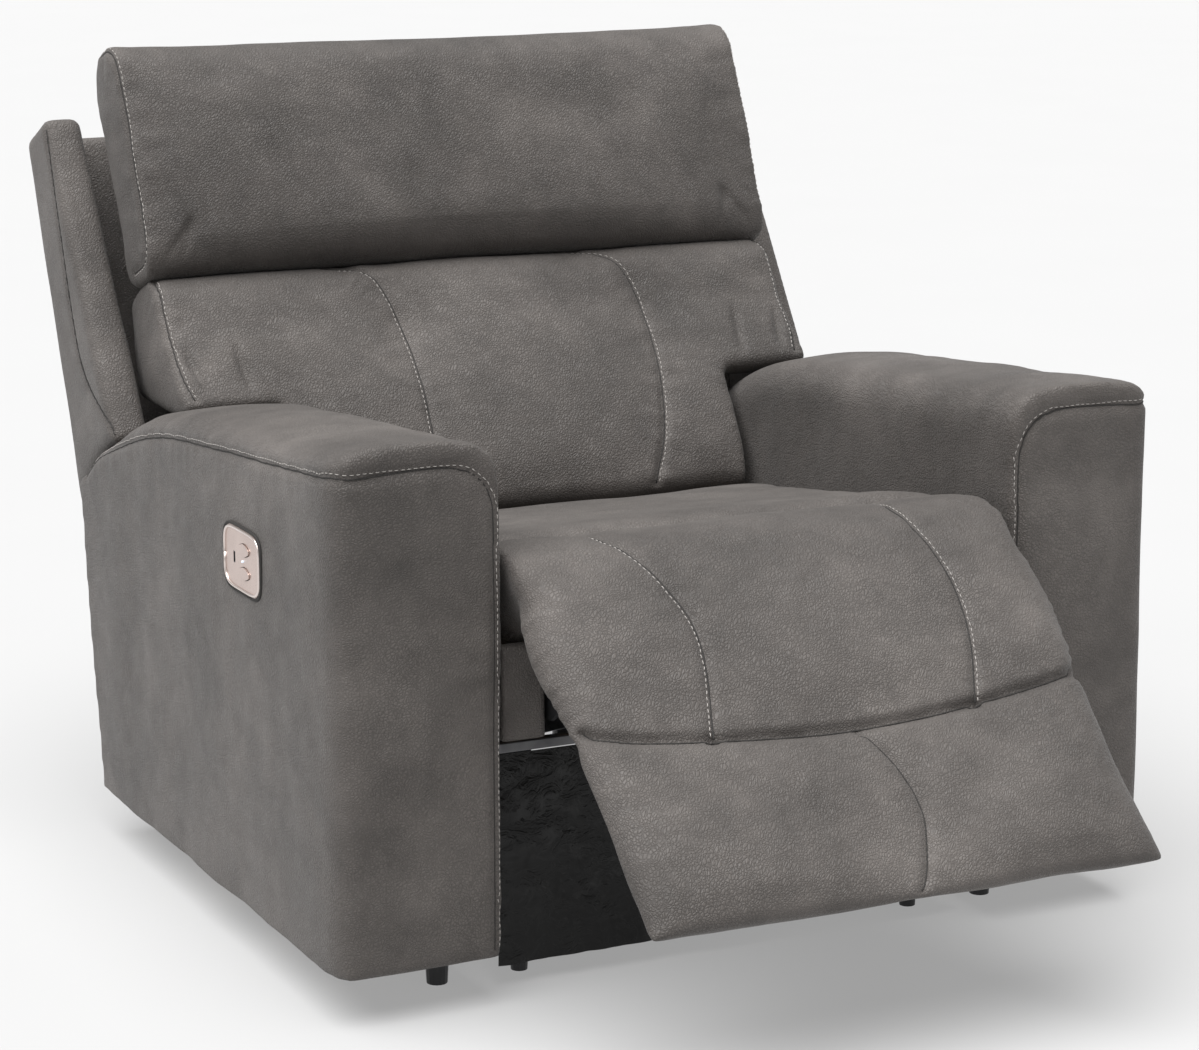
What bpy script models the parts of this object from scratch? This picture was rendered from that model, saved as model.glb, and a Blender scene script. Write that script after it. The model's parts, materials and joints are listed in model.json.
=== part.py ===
"""Power recliner armchair, shown with its footrest partly open.

Metres, +Z up, front towards -Y, sitter's right towards -X. The origin is on the floor
under the middle of the chair. Each object is one physical piece of the chair.
"""
import math

import bmesh
import bpy
from mathutils import Matrix, Vector

# The lengths below are from a line across the seat. The whole chair then moves by this
# much, which puts the origin under its middle.
CENTRE_SHIFT_Y = -0.0374

# Overall size
HALF_WIDTH = 0.540
ARM_WIDTH = 0.203
ARM_FRONT_Y = -0.3575
ARM_FRONT_TOP_Z = 0.636
BODY_BOTTOM_Z = 0.057
ARM_REAR_BOTTOM_Y = 0.4925
SEAT_HALF_WIDTH = 0.325
CUSHION_HALF_WIDTH = 0.468
GAP = 0.0006

# Joint axes, all along X, as (y, z)
BACK_PIVOT = (0.3885, 0.323)
FOOTREST_PIVOT = (-0.385, 0.425)
CRANK_PIVOT = (-0.190, 0.355)
HEADREST_PIVOT = (0.5388, 0.7692)

# The back leans: u runs up along it, r runs square to it towards the rear
BACK_LEAN = math.radians(22.3)
BACK_UP = (math.sin(BACK_LEAN), math.cos(BACK_LEAN))
BACK_REAR = (math.cos(BACK_LEAN), -math.sin(BACK_LEAN))
WING_ARC_RADIUS = 0.2225
ARM_ARC_RADIUS = 0.2190
WING_INNER_X = 0.4725
WING_OUTER_X = 0.5215
BACK_REAR_PLANE = 0.1610
BACK_PANEL_FRONT = 0.1310
ACTUATOR_PLANE = 0.0950
ROD_LINE_X = 0.070

# The footrest: e runs down its length, n runs out of its padded face
FOOTREST_SLOPE = math.radians(42.1)
FOOTREST_ALONG = (-math.cos(FOOTREST_SLOPE), -math.sin(FOOTREST_SLOPE))
FOOTREST_OUT = (-math.sin(FOOTREST_SLOPE), math.cos(FOOTREST_SLOPE))
FOOTREST_LENGTH = 0.4026
FOOTREST_FACE = 0.0600

# Steel parts
PLATE = 0.005
SIDE_PLATE_X = 0.262
BRACKET_X = 0.2535
ROD_X = 0.2445
BASE_RAIL_X = 0.268
CRANK_ARM = (-0.015, -0.075)
NUT_LUG = (0.0, -0.075)
DRIVE_LINK_LENGTH = 0.130

# Drive under the seat
NUT_Z = CRANK_PIVOT[1] + NUT_LUG[1]
SCREW_Z = 0.2420
SCREW_LENGTH = 0.270
MOTOR_Y = 0.150

# Base rails and feet
RAIL_Z = 0.0525
RAIL_SIZE = 0.025
BASE_FRONT_Y = -0.262
BASE_REAR_Y = 0.330
FRONT_FEET_Y = -0.2475
ARM_FOOT_X = 0.374
ARM_FOOT_REAR_Y = 0.4150
BASE_FOOT_REAR_Y = 0.3000

# Control panel on the outside of the right arm
CONTROL_Y = -0.0803
CONTROL_Z = 0.4900
CONTROL_LENGTH = 0.118
CONTROL_HEIGHT = 0.076
ROCKER_Y = CONTROL_Y - 0.0085
ROCKER_OFFSET_Z = 0.0140
ROCKER_LENGTH = 0.034
ROCKER_HEIGHT = 0.0150
ROCKER_PIVOT_X = -HALF_WIDTH + 0.002
SOCKET_Y = CONTROL_Y + 0.025

# Padding
ARM_SKIN = 0.024
ARM_CROWN = 0.024

FINISHES = {
    "leather": ((0.135, 0.122, 0.112), 0.62, 0.0),
    "black_cloth": ((0.012, 0.012, 0.013), 0.45, 0.0),
    "black_steel": ((0.030, 0.030, 0.032), 0.45, 0.6),
    "grey_steel": ((0.22, 0.22, 0.23), 0.40, 0.9),
    "spring_steel": ((0.35, 0.35, 0.36), 0.35, 1.0),
    "wood": ((0.52, 0.37, 0.22), 0.75, 0.0),
    "black_plastic": ((0.020, 0.020, 0.022), 0.40, 0.0),
    "champagne": ((0.62, 0.50, 0.45), 0.28, 1.0),
    "lamp": ((0.75, 0.85, 0.95), 0.20, 0.0),
}


def clear_scene():
    for obj in list(bpy.data.objects):
        bpy.data.objects.remove(obj, do_unlink=True)


def new_collection(name):
    group = bpy.data.collections.new(name)
    bpy.context.scene.collection.children.link(group)
    return group


def paint(obj, finish):
    colour, roughness, metallic = FINISHES[finish]
    material = bpy.data.materials.new(obj.name + "_" + finish)
    material.use_nodes = True
    shader = material.node_tree.nodes["Principled BSDF"]
    shader.inputs["Base Color"].default_value = (*colour, 1.0)
    shader.inputs["Roughness"].default_value = roughness
    shader.inputs["Metallic"].default_value = metallic
    obj.data.materials.append(material)


def axis_empty(name, point, x=0.0):
    """An empty on a joint's axis, which the moving pieces hang from."""
    empty = bpy.data.objects.new(name, None)
    empty.location = (x, point[0], point[1])
    empty.parent = CHAIR
    PARTS.objects.link(empty)
    return empty


def place(obj, finish, body=None):
    """Put a finished piece in the collection and hang it on its body's axis."""
    PARTS.objects.link(obj)
    paint(obj, finish)
    obj.parent = CHAIR
    if body is not None:
        obj.parent = body
        obj.matrix_parent_inverse = Matrix.Translation(-body.location)
    return obj


def soften(obj, width, segments=2):
    """Round an object's sharp edges."""
    bevel = obj.modifiers.new("rounded_edges", "BEVEL")
    bevel.width = width
    bevel.segments = segments
    bevel.limit_method = "ANGLE"
    bevel.angle_limit = math.radians(35)
    return obj


def block(name, centre, size, finish, body=None, lean=0.0, round_edges=0.0):
    """A box, turned about X by lean."""
    mesh = bpy.data.meshes.new(name)
    shape = bmesh.new()
    bmesh.ops.create_cube(shape, size=1.0)
    bmesh.ops.scale(shape, vec=size, verts=shape.verts)
    shape.to_mesh(mesh)
    shape.free()
    obj = bpy.data.objects.new(name, mesh)
    obj.location = centre
    obj.rotation_euler = (lean, 0.0, 0.0)
    if round_edges > 0.0:
        soften(obj, round_edges)
    return place(obj, finish, body)


def cylinder_mesh(name, radius, length, axis, sides=20, top_radius=None):
    """A solid cylinder about its own centre, along X, Y or Z."""
    mesh = bpy.data.meshes.new(name)
    shape = bmesh.new()
    upper = radius if top_radius is None else top_radius
    bmesh.ops.create_cone(shape, cap_ends=True, segments=sides, radius1=radius, radius2=upper, depth=length)
    turn = {
        "X": Matrix.Rotation(math.pi / 2, 3, "Y"),
        "Y": Matrix.Rotation(-math.pi / 2, 3, "X"),
        "Z": Matrix.Identity(3),
    }[axis]
    bmesh.ops.rotate(shape, matrix=turn, verts=shape.verts)
    shape.to_mesh(mesh)
    shape.free()
    mesh.shade_smooth()
    mesh.set_sharp_from_angle(angle=math.radians(40))
    return mesh


def cylinder(name, centre, radius, length, axis, finish, body=None, sides=20, top_radius=None):
    mesh = cylinder_mesh(name, radius, length, axis, sides, top_radius)
    obj = bpy.data.objects.new(name, mesh)
    obj.location = centre
    return place(obj, finish, body)


def add_loop(curve, points):
    spline = curve.splines.new("POLY")
    spline.points.add(len(points) - 1)
    for point, (a, b) in zip(spline.points, points):
        point.co = (a, b, 0.0, 1.0)
    spline.use_cyclic_u = True


def outline_object(name, outline, thickness, centre_x, holes=()):
    """A flat (y, z) outline with holes, given thickness along X."""
    curve = bpy.data.curves.new(name, "CURVE")
    curve.dimensions = "2D"
    curve.fill_mode = "BOTH"
    curve.extrude = thickness / 2
    add_loop(curve, outline)
    for hole in holes:
        add_loop(curve, hole)
    obj = bpy.data.objects.new(name, curve)
    obj.location = (centre_x, 0.0, 0.0)
    obj.rotation_euler = (math.pi / 2, 0.0, math.pi / 2)
    return obj


def plate(name, outline, thickness, centre_x, finish, body=None, holes=(), round_edges=0.0):
    """A flat (y, z) outline made into a piece of the chair, with its edges rounded if asked."""
    obj = outline_object(name, outline, thickness, centre_x, holes)
    if round_edges > 0.0:
        weld = obj.modifiers.new("weld_caps", "WELD")
        weld.merge_threshold = 0.00005
        flat = obj.modifiers.new("flat_faces", "DECIMATE")
        flat.decimate_type = "DISSOLVE"
        flat.angle_limit = math.radians(1)
        soften(obj, round_edges)
    return place(obj, finish, body)


def as_mesh(obj):
    """Replace a curve object by a closed mesh object in the same place."""
    bpy.context.view_layer.update()
    source = obj.evaluated_get(bpy.context.evaluated_depsgraph_get())
    mesh = bpy.data.meshes.new_from_object(source)
    shape = bmesh.new()
    shape.from_mesh(mesh)
    bmesh.ops.remove_doubles(shape, verts=shape.verts, dist=0.00002)
    bmesh.ops.recalc_face_normals(shape, faces=shape.faces)
    shape.to_mesh(mesh)
    shape.free()
    solid = bpy.data.objects.new(obj.name, mesh)
    solid.location = obj.location
    solid.rotation_euler = obj.rotation_euler
    name = obj.name
    bpy.data.objects.remove(obj, do_unlink=True)
    solid.name = name
    return solid


def cut(obj, cutter, operation="DIFFERENCE"):
    """Cut obj with cutter, or join them, and keep the cutter as a hidden guide."""
    CUTTERS.objects.link(cutter)
    cutter.parent = CHAIR
    cutter.hide_render = True
    cutter.display_type = "WIRE"
    boolean = obj.modifiers.new(operation.lower(), "BOOLEAN")
    boolean.operation = operation
    boolean.object = cutter
    return obj


def add_stud(obj, label, side, point, radius, low_x, high_x):
    """Join a round stud to a plate, along X between two distances from the middle."""
    name = label + "_" + side_name(side)
    stud = bpy.data.objects.new(name, cylinder_mesh(name, radius, high_x - low_x, "X", 14))
    stud.location = (side * (low_x + high_x) / 2, *point)
    cut(obj, stud, "UNION")


def add_box(obj, label, side, x_range, y_range, z_range):
    """Join a bar to a plate, given as distances from the middle and ranges of y and z."""
    low_x, high_x = sorted((side * x_range[0], side * x_range[1]))
    name = label + "_" + side_name(side)
    bar = box_cutter(name, (low_x, y_range[0], z_range[0]), (high_x, y_range[1], z_range[1]))
    cut(obj, bar, "UNION")


def box_cutter(name, low, high):
    mesh = bpy.data.meshes.new(name)
    shape = bmesh.new()
    bmesh.ops.create_cube(shape, size=1.0)
    size = [b - a for a, b in zip(low, high)]
    bmesh.ops.scale(shape, vec=size, verts=shape.verts)
    shape.to_mesh(mesh)
    shape.free()
    obj = bpy.data.objects.new(name, mesh)
    obj.location = [(a + b) / 2 for a, b in zip(low, high)]
    return obj


def arc(centre, radius, start_deg, end_deg, steps):
    """Points on a circle in (y, z), angles from +Y towards +Z."""
    points = []
    for i in range(steps + 1):
        angle = math.radians(start_deg + (end_deg - start_deg) * i / steps)
        points.append((centre[0] + radius * math.cos(angle), centre[1] + radius * math.sin(angle)))
    return points


def circle(centre, radius, steps=16):
    return arc(centre, radius, 0.0, 360.0 * (steps - 1) / steps, steps - 1)


def bar_outline(first, second, radius, steps=8):
    """A straight link with round ends about two pivots."""
    angle = math.degrees(math.atan2(second[1] - first[1], second[0] - first[0]))
    return arc(second, radius, angle - 90, angle + 90, steps) + arc(first, radius, angle + 90, angle + 270, steps)


def rounded(points, radius, steps=3):
    """Round each corner of an outline with a short arc-like fillet."""
    result = []
    count = len(points)
    for i, corner in enumerate(points):
        here = Vector(corner)
        before = (Vector(points[i - 1]) - here)
        after = (Vector(points[(i + 1) % count]) - here)
        reach = min(radius, before.length * 0.45, after.length * 0.45)
        start = here + before.normalized() * reach
        end = here + after.normalized() * reach
        for j in range(steps + 1):
            t = j / steps
            point = start * (1 - t) ** 2 + here * (2 * t * (1 - t)) + end * t ** 2
            result.append((point.x, point.y))
    return result


def shifted(point, offset):
    return (point[0] + offset[0], point[1] + offset[1])


def on_back(up, rear):
    """A point beside the back, from its hinge: up along the back and towards the rear."""
    return (
        BACK_PIVOT[0] + up * BACK_UP[0] + rear * BACK_REAR[0],
        BACK_PIVOT[1] + up * BACK_UP[1] + rear * BACK_REAR[1],
    )


def on_footrest(along, out):
    """A point of the footrest, from its hinge."""
    return (
        FOOTREST_PIVOT[0] + along * FOOTREST_ALONG[0] + out * FOOTREST_OUT[0],
        FOOTREST_PIVOT[1] + along * FOOTREST_ALONG[1] + out * FOOTREST_OUT[1],
    )


def side_name(side):
    return "left" if side > 0 else "right"


# ---------------------------------------------------------------- arms


def arm_top_z(y, lower=0.0):
    """Height of the arm's top edge, which drops towards the rear."""
    w = (y - ARM_FRONT_Y) / 0.75
    return ARM_FRONT_TOP_Z - 0.055 * w - 0.039 * w ** 4 - lower


def arm_outline(inset=0.0, crown=0.0, bottom=BODY_BOTTOM_Z):
    """Side view of an arm: straight front, falling top, a rear end round the back's hinge."""
    front = ARM_FRONT_Y + inset
    rear_arc = arc(BACK_PIVOT, ARM_ARC_RADIUS - inset, 41.0, 86.0, 6)
    last_top_y = rear_arc[-1][0]
    outline = [(front, bottom), (ARM_REAR_BOTTOM_Y - inset, bottom)]
    outline.extend(rear_arc)
    steps = 7
    for i in range(1, steps + 1):
        t = i / steps
        y = last_top_y + (front - last_top_y) * t
        rise = crown * min(1.0, t * 2.5)
        outline.append((y, arm_top_z(y, inset) + rise))
    return outline


def arm_cover(side):
    """Padded leather cover of an arm: a thick skin, open underneath, round the wooden frame."""
    name = "arm_cover_" + side_name(side)
    centre = side * (HALF_WIDTH - ARM_WIDTH / 2)
    outer = as_mesh(outline_object(name, arm_outline(crown=ARM_CROWN), ARM_WIDTH, centre))
    inner_outline = arm_outline(inset=ARM_SKIN, bottom=BODY_BOTTOM_Z - 0.01)
    inner = as_mesh(outline_object(name + "_cavity", inner_outline, ARM_WIDTH - 2 * ARM_SKIN, centre))
    flat = outer.modifiers.new("flat_faces", "DECIMATE")
    flat.decimate_type = "DISSOLVE"
    flat.angle_limit = math.radians(1)
    soften(outer, 0.018)
    cut(outer, inner)
    if side < 0:
        low = (-HALF_WIDTH - 0.01, CONTROL_Y - 0.0505, CONTROL_Z - 0.0305)
        high = (-HALF_WIDTH + 0.05, CONTROL_Y + 0.0505, CONTROL_Z + 0.0305)
        cut(outer, box_cutter(name + "_pocket", low, high))
    return place(outer, "leather")


def arm_frame(side):
    """Plywood inner frame of an arm: outline with two large openings."""
    outline = arm_outline(inset=0.0265, bottom=BODY_BOTTOM_Z)
    board = 0.045
    front_window = [
        (ARM_FRONT_Y + board * 1.6, 0.14),
        (0.02, 0.14),
        (0.02, arm_top_z(0.02) - 0.085),
        (ARM_FRONT_Y + board * 1.6, arm_top_z(ARM_FRONT_Y) - 0.085),
    ]
    rear_window = [
        (0.07, 0.14),
        (0.42, 0.14),
        (0.42, 0.40),
        (0.30, 0.455),
        (0.07, arm_top_z(0.07) - 0.085),
    ]
    name = "arm_frame_" + side_name(side)
    windows = (front_window, rear_window)
    outer_x = HALF_WIDTH - 0.060
    inner_x = HALF_WIDTH - ARM_WIDTH + 0.036
    frame = as_mesh(outline_object(name, outline, 0.015, side * outer_x, windows))
    inner = as_mesh(outline_object(name + "_inner", outline, 0.015, side * inner_x, windows))
    cut(frame, inner, "UNION")
    low = (min(side * inner_x, side * outer_x), -0.320, 0.080)
    high = (max(side * inner_x, side * outer_x), 0.440, 0.110)
    cut(frame, box_cutter(name + "_sill", low, high), "UNION")
    return place(frame, "wood")


def four_feet(label, x, rows, radius, top_radius, height):
    """Four tapered feet under the chair, two in each row."""
    for side in (-1, 1):
        for place_name, y in zip(("front", "rear"), rows):
            name = label + "_" + place_name + "_" + side_name(side)
            centre = (side * x, y, height / 2)
            cylinder(name, centre, radius, height, "Z", "black_plastic", sides=16, top_radius=top_radius)


def arm_feet():
    top = BODY_BOTTOM_Z - 0.0004
    four_feet("arm_foot", ARM_FOOT_X, (FRONT_FEET_Y, ARM_FOOT_REAR_Y), 0.0125, 0.0155, top)


# ---------------------------------------------------------------- control panel


def rocker_outline(grow=0.0):
    """A rocker's face: a long oval whose two ends are fuller than its waist."""
    outline = []
    steps = 20
    for i in range(steps):
        angle = 2 * math.pi * i / steps
        y = (ROCKER_LENGTH / 2 + grow) * math.cos(angle)
        waist = 0.84 + 0.16 * math.cos(2 * angle) ** 2
        z = (ROCKER_HEIGHT / 2) * waist * math.sin(angle)
        z += grow * (1 if z > 0 else -1) if abs(z) > 0.0001 else 0.0
        outline.append((y, z))
    return outline


def control_panel():
    corners = [
        (CONTROL_Y - CONTROL_LENGTH / 2, CONTROL_Z - CONTROL_HEIGHT / 2),
        (CONTROL_Y + CONTROL_LENGTH / 2, CONTROL_Z - CONTROL_HEIGHT / 2),
        (CONTROL_Y + CONTROL_LENGTH / 2, CONTROL_Z + CONTROL_HEIGHT / 2),
        (CONTROL_Y - CONTROL_LENGTH / 2, CONTROL_Z + CONTROL_HEIGHT / 2),
    ]
    holes = []
    for sign in (-1, 1):
        centre = (ROCKER_Y, CONTROL_Z + sign * ROCKER_OFFSET_Z)
        holes.append([shifted(centre, point) for point in rocker_outline(0.0008)])
    socket = [
        (SOCKET_Y - 0.0030, CONTROL_Z - 0.0069),
        (SOCKET_Y + 0.0030, CONTROL_Z - 0.0069),
        (SOCKET_Y + 0.0030, CONTROL_Z + 0.0069),
        (SOCKET_Y - 0.0030, CONTROL_Z + 0.0069),
    ]
    holes.append(socket)
    holes.append(circle((ROCKER_Y + 0.004, CONTROL_Z), 0.0016, 10))
    face = rounded(corners, 0.030, 6)
    plate("control_bezel", face, 0.0030, -HALF_WIDTH - 0.0019, "champagne", holes=holes)
    housing_centre = (-HALF_WIDTH + 0.0215, CONTROL_Y, CONTROL_Z)
    block("control_housing", housing_centre, (0.030, 0.098, 0.058), "black_plastic")
    for label, sign in (("upper", 1), ("lower", -1)):
        centre = (ROCKER_Y, CONTROL_Z + sign * ROCKER_OFFSET_Z)
        body = axis_empty(label + "_rocker_axis", centre, ROCKER_PIVOT_X)
        outline = [shifted(centre, point) for point in rocker_outline()]
        plate("rocker_" + label, outline, 0.0070, ROCKER_PIVOT_X - 0.0035, "champagne", body)
    usb_socket()
    cylinder("indicator_lamp", (-HALF_WIDTH - 0.0005, ROCKER_Y + 0.004, CONTROL_Z), 0.0012, 0.0100, "X", "lamp", sides=10)


def usb_socket():
    """Charging socket: a thin metal sleeve round an open slot."""
    outer = [(-0.0027, -0.0065), (0.0027, -0.0065), (0.0027, 0.0065), (-0.0027, 0.0065)]
    inner = [(-0.0022, -0.0060), (0.0022, -0.0060), (0.0022, 0.0060), (-0.0022, 0.0060)]
    outer = [(SOCKET_Y + y, CONTROL_Z + z) for y, z in outer]
    inner = [(SOCKET_Y + y, CONTROL_Z + z) for y, z in inner]
    plate("usb_socket", outer, 0.0090, -HALF_WIDTH + 0.0013, "grey_steel", holes=(inner,))


# ---------------------------------------------------------------- steel base


def base():
    for side in (-1, 1):
        name = "base_rail_" + side_name(side)
        centre = (side * BASE_RAIL_X, (BASE_FRONT_Y + BASE_REAR_Y) / 2, RAIL_Z)
        block(name, centre, (RAIL_SIZE, BASE_REAR_Y - BASE_FRONT_Y, RAIL_SIZE), "black_steel", round_edges=0.002)
        mechanism_plate(side)
    top = RAIL_Z - RAIL_SIZE / 2 - 0.0004
    four_feet("base_foot", BASE_RAIL_X, (FRONT_FEET_Y, BASE_FOOT_REAR_Y), 0.0100, 0.0120, top)
    cross_length = 2 * (BASE_RAIL_X - RAIL_SIZE / 2 - GAP)
    for name, y in (("front_cross_rail", BASE_FRONT_Y + 0.0125), ("rear_cross_rail", BASE_REAR_Y - 0.0125)):
        block(name, (0.0, y, RAIL_Z), (cross_length, RAIL_SIZE, RAIL_SIZE), "black_steel", round_edges=0.002)
    block("power_inlet", (0.180, BASE_REAR_Y + 0.0160, RAIL_Z), (0.034, 0.030, 0.024), "black_plastic", round_edges=0.002)


def mechanism_plate(side):
    """Upright side plate of the mechanism, on its rail, with the back's hinge at the rear."""
    hinge_y, hinge_z = BACK_PIVOT
    outline = [
        (-0.295, 0.2660),
        (-0.295, 0.2400),
        (-0.250, 0.0660),
        (0.300, 0.0660),
        (0.300, 0.2300),
    ]
    outline.extend(arc(BACK_PIVOT, 0.022, -60.0, 120.0, 8))
    outline.append((hinge_y - 0.06, hinge_z - 0.010))
    outline.append((0.260, 0.2660))
    name = "mechanism_plate_" + side_name(side)
    window = [(-0.17, 0.10), (0.20, 0.10), (0.20, 0.22), (-0.17, 0.22)]
    upright = as_mesh(outline_object(name, outline, PLATE, side * BASE_RAIL_X, (rounded(window, 0.03),)))
    add_box(upright, "slide_rail", side, (0.2660, 0.2885), (-0.280, 0.240), (0.2600, 0.2962))
    add_stud(upright, "back_hinge_stud", side, BACK_PIVOT, 0.0056, 0.2575, 0.2695)
    place(upright, "black_steel")


# ---------------------------------------------------------------- seat


def seat(body):
    for side in (-1, 1):
        seat_side_plate(side, body)
    seat_frame(body)
    seat_springs(body)
    seat_cushion(body)
    seat_apron(body)
    front_bar(body)
    drive(body)


def seat_side_plate(side, body):
    """Steel seat rail: carries the footrest hinge in front and the crank's pivot below."""
    eye = arc(CRANK_PIVOT, 0.0170, 0.0, 180.0, 8)
    outline = [(0.255, 0.3250), (0.255, 0.3500)] + eye
    outline.extend([(-0.300, 0.3500), (-0.335, 0.3700), (-0.372, 0.4300)])
    outline.extend(arc(FOOTREST_PIVOT, 0.0135, 30.0, 210.0, 8))
    outline.extend([(-0.392, 0.4050), (-0.350, 0.3400), (-0.330, 0.3250)])
    name = "seat_rail_" + side_name(side)
    rail = as_mesh(outline_object(name, outline, PLATE, side * SIDE_PLATE_X, (circle(CRANK_PIVOT, 0.0094),)))
    add_box(rail, "seat_runner", side, (0.2625, 0.2920), (-0.220, 0.220), (0.2968, 0.3300))
    add_stud(rail, "footrest_stud", side, FOOTREST_PIVOT, 0.0050, 0.2490, 0.2635)
    place(rail, "black_steel", body)


def seat_frame(body):
    """Wooden seat frame: four boards joined into one ring."""
    outer = block("seat_frame", (0.0, -0.0225, 0.3840), (0.640, 0.555, 0.0240), "wood", body)
    cut(outer, box_cutter("seat_frame_opening", (-0.285, -0.262, 0.350), (0.285, 0.215, 0.420)))


def wire(name, points, radius):
    """A wire as a closed mesh."""
    curve = bpy.data.curves.new(name, "CURVE")
    curve.dimensions = "3D"
    curve.bevel_depth = radius
    curve.bevel_resolution = 1
    curve.use_fill_caps = True
    spline = curve.splines.new("POLY")
    spline.points.add(len(points) - 1)
    for target, point in zip(spline.points, points):
        target.co = (*point, 1.0)
    return as_mesh(bpy.data.objects.new(name, curve))


def seat_springs(body):
    """Sinuous springs across the frame, front to back, clipped to one tie wire."""
    tie = wire("seat_springs", [(-0.250, -0.0235, 0.3820), (0.250, -0.0235, 0.3820)], 0.0015)
    waves = 8
    steps = waves * 4
    for number, x in enumerate((-0.195, -0.065, 0.065, 0.195)):
        points = []
        for i in range(steps + 1):
            t = i / steps
            sway = 0.022 * math.sin(2 * math.pi * waves * t)
            points.append((x + sway, -0.258 + 0.469 * t, 0.3800 + 0.002 * math.sin(math.pi * t)))
        cut(tie, wire("spring_%d" % number, points, 0.0019), "UNION")
    return place(tie, "spring_steel", body)


def seat_cushion(body):
    outline = [
        (-0.345, 0.456),
        (-0.285, 0.398),
        (0.255, 0.398),
        (0.266, 0.436),
        (0.150, 0.455),
        (-0.080, 0.492),
        (-0.240, 0.526),
        (-0.310, 0.536),
        (-0.352, 0.508),
    ]
    plate("seat_cushion", rounded(outline, 0.02, 2), 2 * SEAT_HALF_WIDTH, 0.0, "leather", body, round_edges=0.012)


def seat_apron(body):
    """Upholstered board under the seat's front, notched in the middle for the footrest links."""
    name = "seat_apron"
    outer = block(name, (0.0, -0.3200, 0.3620), (2 * SEAT_HALF_WIDTH, 0.020, 0.1120), "leather", body)
    notch = 0.270
    cut(outer, box_cutter(name + "_notch", (-notch, -0.40, 0.20), (notch, -0.20, 0.4020)))


def front_bar(body):
    """Flat bar under the apron, with the thin dust cover that hangs from it."""
    block("front_upper_bar", (0.0, -0.3020, 0.2930), (0.640, 0.012, 0.0130), "grey_steel", body, round_edges=0.002)
    block("front_dust_cover", (0.0, -0.3020, 0.1570), (0.640, 0.004, 0.2580), "black_cloth", body)


# ---------------------------------------------------------------- drive


def drive(body):
    """Motor, gearbox and screw tube under the seat, on a cross tube."""
    cross_y = 0.190
    cylinder("motor_cross_tube", (0.0, cross_y, 0.3375), 0.0110, 2 * (SIDE_PLATE_X - PLATE / 2 - GAP), "X", "grey_steel", body)
    gearbox_low = (-0.030, MOTOR_Y - 0.030, 0.2240)
    gearbox_high = (0.030, MOTOR_Y + 0.050, 0.3258)
    motor = bpy.data.objects.new("drive_motor", cylinder_mesh("drive_motor", 0.0280, 0.0900, "Z", 24))
    motor.location = (0.0, MOTOR_Y + 0.010, 0.1930)
    cut(motor, box_cutter("gearbox", gearbox_low, gearbox_high), "UNION")
    place(motor, "black_plastic", body)
    middle_y = MOTOR_Y - 0.030 - GAP - SCREW_LENGTH / 2
    cylinder("drive_screw", (0.0, middle_y, SCREW_Z), 0.0080, SCREW_LENGTH, "Y", "spring_steel", body, sides=16)


def drive_nut(body):
    """Nut that runs along the screw, with a lug for the drive link's pin."""
    pin_y = CRANK_PIVOT[0] + NUT_LUG[0] + DRIVE_LINK_LENGTH
    nut = block("drive_nut", (0.0, pin_y, 0.2570), (0.036, 0.040, 0.070), "black_plastic", body)
    bore = bpy.data.objects.new("drive_nut_bore", cylinder_mesh("drive_nut_bore", 0.0086, 0.10, "Y", 16))
    bore.location = (0.0, pin_y, SCREW_Z)
    cut(nut, bore)
    boss = bpy.data.objects.new("drive_nut_boss", cylinder_mesh("drive_nut_boss", 0.0060, 0.0100, "X", 12))
    boss.location = (0.0154, pin_y, NUT_Z)
    cut(nut, boss, "UNION")


def drive_link(body):
    """Link between the crank's middle lug and the nut. Its nut end is the open pivot."""
    first = (CRANK_PIVOT[0] + NUT_LUG[0], CRANK_PIVOT[1] + NUT_LUG[1])
    second = (first[0] + DRIVE_LINK_LENGTH, first[1])
    holes = (circle(first, 0.0050, 12), circle(second, 0.0062, 12))
    plate("drive_link", bar_outline(first, second, 0.0115), 0.006, 0.0240, "grey_steel", body, holes=holes)


# ---------------------------------------------------------------- footrest


def torque_tube(body):
    """Cross tube that turns the two outer cranks and carries the middle lug."""
    tube = bpy.data.objects.new("torque_tube", cylinder_mesh("torque_tube", 0.0090, 0.535, "X", 20))
    tube.location = (0.0, *CRANK_PIVOT)
    for side in (-1, 1):
        outline = bar_outline(CRANK_PIVOT, shifted(CRANK_PIVOT, CRANK_ARM), 0.0130)
        arm = as_mesh(outline_object("crank_" + side_name(side), outline, PLATE, side * BRACKET_X))
        cut(tube, arm, "UNION")
        add_stud(tube, "crank_stud", side, shifted(CRANK_PIVOT, CRANK_ARM), 0.0046, 0.2405, 0.2550)
    outline = bar_outline(CRANK_PIVOT, shifted(CRANK_PIVOT, NUT_LUG), 0.0130)
    lug = as_mesh(outline_object("crank_lug", outline, 0.006, 0.0330))
    cut(tube, lug, "UNION")
    add_stud(tube, "lug_stud", 1, shifted(CRANK_PIVOT, NUT_LUG), 0.0046, 0.0190, 0.0340)
    return place(tube, "black_steel", body)


def push_rods(body):
    """Two rods that carry the cranks' turn to the footrest. Their front ends are the open pivots."""
    reach = (FOOTREST_PIVOT[0] - CRANK_PIVOT[0], FOOTREST_PIVOT[1] - CRANK_PIVOT[1])
    first = shifted(CRANK_PIVOT, CRANK_ARM)
    second = shifted(first, reach)
    for side in (-1, 1):
        holes = (circle(first, 0.0050, 12), circle(second, 0.0056, 12))
        outline = bar_outline(first, second, 0.0095)
        plate("push_rod_" + side_name(side), outline, PLATE, side * ROD_X, "grey_steel", body, holes=holes)


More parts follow.
